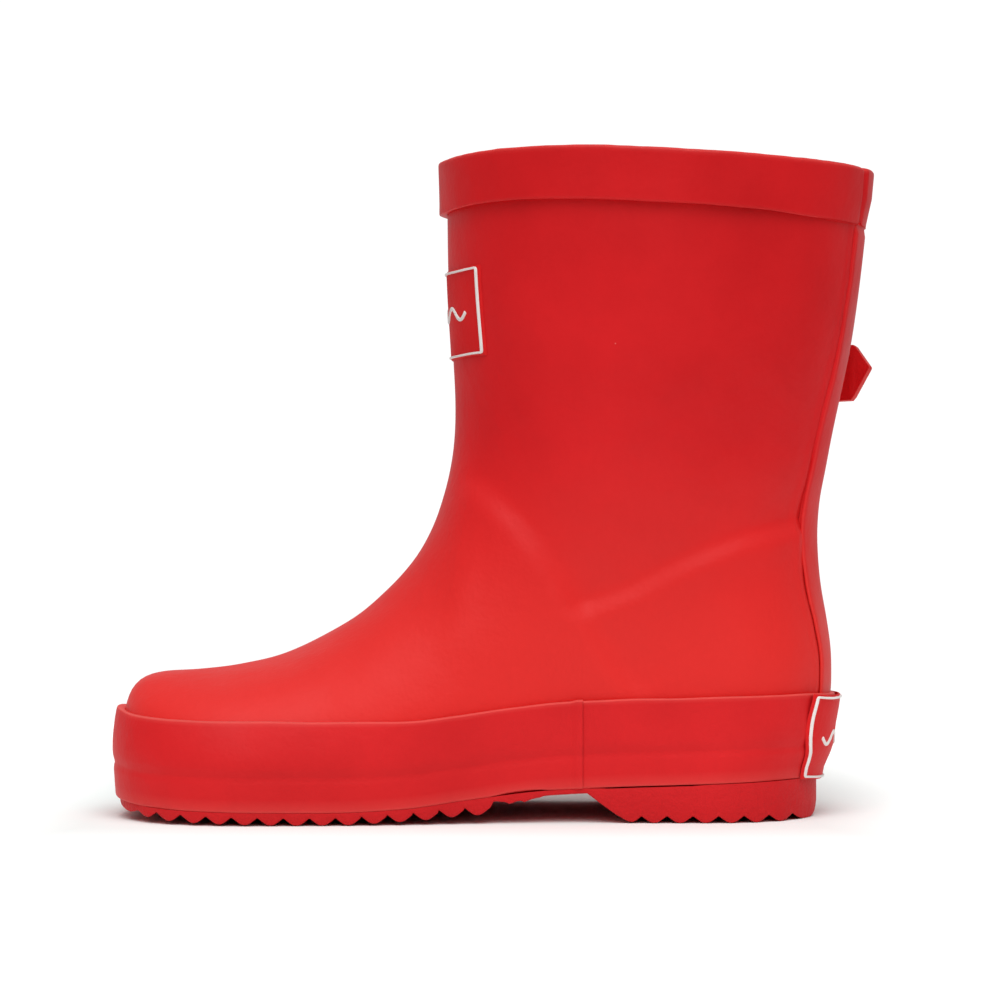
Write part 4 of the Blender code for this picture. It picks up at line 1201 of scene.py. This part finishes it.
def make_buckle(strap_frame):
    """The frame, a rounded rectangle of wire whose rear bar is the hinge."""
    fall = 0.9 / BUCKLE_LENGTH
    radius = 2.2
    far = -BUCKLE_LENGTH + radius
    wide = BUCKLE_SPREAD - radius
    outline = []
    corners = ((-radius, wide, 0), (far, wide, 90), (far, -wide, 180), (-radius, -wide, 270))
    for middle_s, middle_u, start in corners:
        for a in np.radians(start + np.arange(0, 91, 10)):
            s = middle_s + radius * math.cos(a)
            outline.append((s, BAR_HEIGHT + s * fall, middle_u + radius * math.sin(a)))
    buckle = wire_ring(strap_frame, "buckle_wire", filled_in(outline, 1.2), BAR_RADIUS, 18)
    finish_piece(buckle, "nickel", "buckle_frame", body="buckle_frame")


def make_prong(strap_frame):
    """The prong: an eye round the bar, drawn out into a rounded arm that rests on the frame's front end."""
    eye_r = 1.62
    turn = np.radians(np.arange(-165, 151, 15))
    eye = [(eye_r * math.cos(a), BAR_HEIGHT + eye_r * math.sin(a)) for a in turn]
    arm = [(-1.6, 3.0), (-2.6, 3.3), (-4.5, 3.5), (-7.5, 3.62), (-10.5, 3.74), (-12.6, 3.76)]
    arm += [(-13.8, 3.6), (-14.4, 3.35)]
    line = np.array(eye + arm)
    normal = left_of(line)
    run = np.linspace(0, 1, len(line))
    widths = np.interp(run, [0, 0.68, 0.85, 0.97, 1.0], [1.15, 1.15, 0.8, 0.65, 0.3])
    thick = np.interp(run, [0, 0.68, 0.85, 0.97, 1.0], [0.42, 0.42, 0.6, 0.55, 0.3])
    grid = []
    for a in np.linspace(0, 2 * math.pi, 16, endpoint=False):
        c, s = [math.copysign(abs(part) ** 0.7, part) for part in (math.cos(a), math.sin(a))]
        flat = line + normal * (s * thick)[:, None]
        grid.append(strap_frame.place(np.column_stack([flat, c * widths])))
    prong = tube("buckle_tongue", np.array(grid))
    finish_piece(prong, "nickel", "buckle_prong", body="buckle_prong")


# ---- Inner pieces that keep the model's shape ----
def dress_inner_pieces():
    looks = {
        "vamp_ply": "ply_rubber",
        "heel_counter": "ply_rubber",
        "insole_board": "insole_board",
        "midsole": "sole_rubber",
    }
    for node, look in looks.items():
        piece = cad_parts[node]
        piece.data.materials.clear()
        piece.data.materials.append(MATERIALS[look])


# ---- Studio ----
EYE_HEIGHT = 0.0755
EYE_DISTANCE = 0.812
FLOOR_RADIUS = 0.36
LOW_LIGHT = (0.12, 0.12, 0.13)  # the tent's light from below and from behind
HIGH_LIGHT = (0.58, 0.57, 0.54)  # and from its brightest side, with an even rise between
BRIGHT_SIDE = (0, -0.34, 0.94)
SEEN_WHITE = (1.05, 1.05, 1.05)
MIRRORED_WHITE = 0.55  # how much of the seen white a reflection gets
# How strongly the paper glows, as painted light, where the boot's shadow should not show.
PAPER_GLOW = 0.28


def make_tent():
    """A white tent all round: it shows white, even mirrored, and its light grows towards the bright side."""
    n = Nodes(bpy.data.worlds.new("studio"), "Background")
    rise = n.add("ShaderNodeVectorMath", operation="DOT_PRODUCT")
    n.feed(rise.inputs[0], n.coordinates["Generated"])
    rise.inputs[1].default_value = BRIGHT_SIDE
    height = n.add("ShaderNodeMapRange")
    n.feed(height.inputs["Value"], rise.outputs["Value"])
    light = n.mix(height.outputs["Result"], LOW_LIGHT, HIGH_LIGHT)
    ray = n.add("ShaderNodeLightPath").outputs
    whiter = n.math("MULTIPLY_ADD", ray["Is Glossy Ray"], MIRRORED_WHITE, ray["Is Camera Ray"])
    n.set(Color=n.mix(whiter, light, SEEN_WHITE))
    bpy.context.scene.world = n.owner


def make_sun(name, tilt, strength, size):
    """A distant, wide light, tilted from straight overhead towards the camera."""
    light = bpy.data.lights.new(name, "SUN")
    light.energy = strength
    light.angle = math.radians(size)
    made = bpy.data.objects.new(name, light)
    made.location = (0, 0, 1)
    made.rotation_euler = (math.radians(tilt), 0, 0)
    bpy.context.scene.collection.objects.link(made)


def make_camera():
    camera = bpy.data.cameras.new("camera")
    camera.lens = 120.8
    camera.sensor_width = 36.0
    camera.clip_start = 0.01
    holder = bpy.data.objects.new("camera", camera)
    holder.location = (ORIGIN[0] * MM, -EYE_DISTANCE, EYE_HEIGHT)
    holder.rotation_euler = (math.radians(90), 0, 0)
    bpy.context.scene.collection.objects.link(holder)
    bpy.context.scene.camera = holder


def paper(name):
    """White paper. Past the boot's ends and in front of it, it glows: painted light, so bright that no shadow
    shows.
    """
    n = Nodes(bpy.data.materials.new(name))
    tone = n.ramp(n.noise(3.0), [(0.3, 0.95), (0.7, 0.97)])
    # Beside the boot it is a little cooler, which offsets the red light that the boot throws on it.
    away = n.add("ShaderNodeVectorMath", operation="LENGTH")
    n.feed(away.inputs[0], n.place)
    near = n.ramp(away.outputs["Value"], [(0.06, 1.0), (0.24, 0.0)])
    x, y, _ = n.xyz()
    # Painted light: the paper glows past the boot's ends and in front of it, washing out the boot's shadow
    # there.
    past_ends = n.ramp(n.math("ABSOLUTE", n.math("ADD", x, 0.010)), [(0.086, 0.0), (0.116, 1.0)])
    in_front = n.ramp(n.math("MULTIPLY", y, -1.0), [(0.04, 0.0), (0.10, 1.0)])
    glow = n.math("MULTIPLY", n.math("MAXIMUM", past_ends, in_front), PAPER_GLOW)
    n.set(Base_Color=n.mix(near, tone, (0.90, 0.98, 0.98)), Roughness=0.9, Specular_IOR_Level=0.0)
    n.set(Emission_Color=(1.0, 1.0, 1.0), Emission_Strength=glow)
    return n.owner


def make_floor():
    mesh = bpy.data.meshes.new("floor")
    turn = np.linspace(0, 2 * math.pi, 96, endpoint=False)
    rim = [(FLOOR_RADIUS * math.cos(a), FLOOR_RADIUS * math.sin(a), 0) for a in turn]
    mesh.from_pydata(rim, [], [tuple(range(96))])
    mesh.materials.append(paper("floor_paper"))
    floor = bpy.data.objects.new("floor", mesh)
    bpy.context.scene.collection.objects.link(floor)


# Each label's place: how far out it starts, at the back or not, middle height, half width and half height.
FRONT_LABEL = (0.0, False, 120.4, 21.8, 10.7)
HEEL_LABEL = (2.2, True, 19.8, 19.5, 10.3)

make_upper()
make_lining()
make_footbed()
make_top_band()
make_back_strip()
make_foxings()
make_outsole()
make_heel()
make_label("front_label", *FRONT_LABEL)
make_label("heel_label", *HEEL_LABEL)
calf = StrapFrame()
make_strap(calf)
make_tab(calf)
make_buckle(calf)
make_prong(calf)
dress_inner_pieces()
make_camera()
make_floor()
make_tent()
make_sun("overhead", 16, 0.96, 50)
make_sun("front", 42, 1.24, 50)
bpy.context.scene.view_settings.view_transform = "Standard"
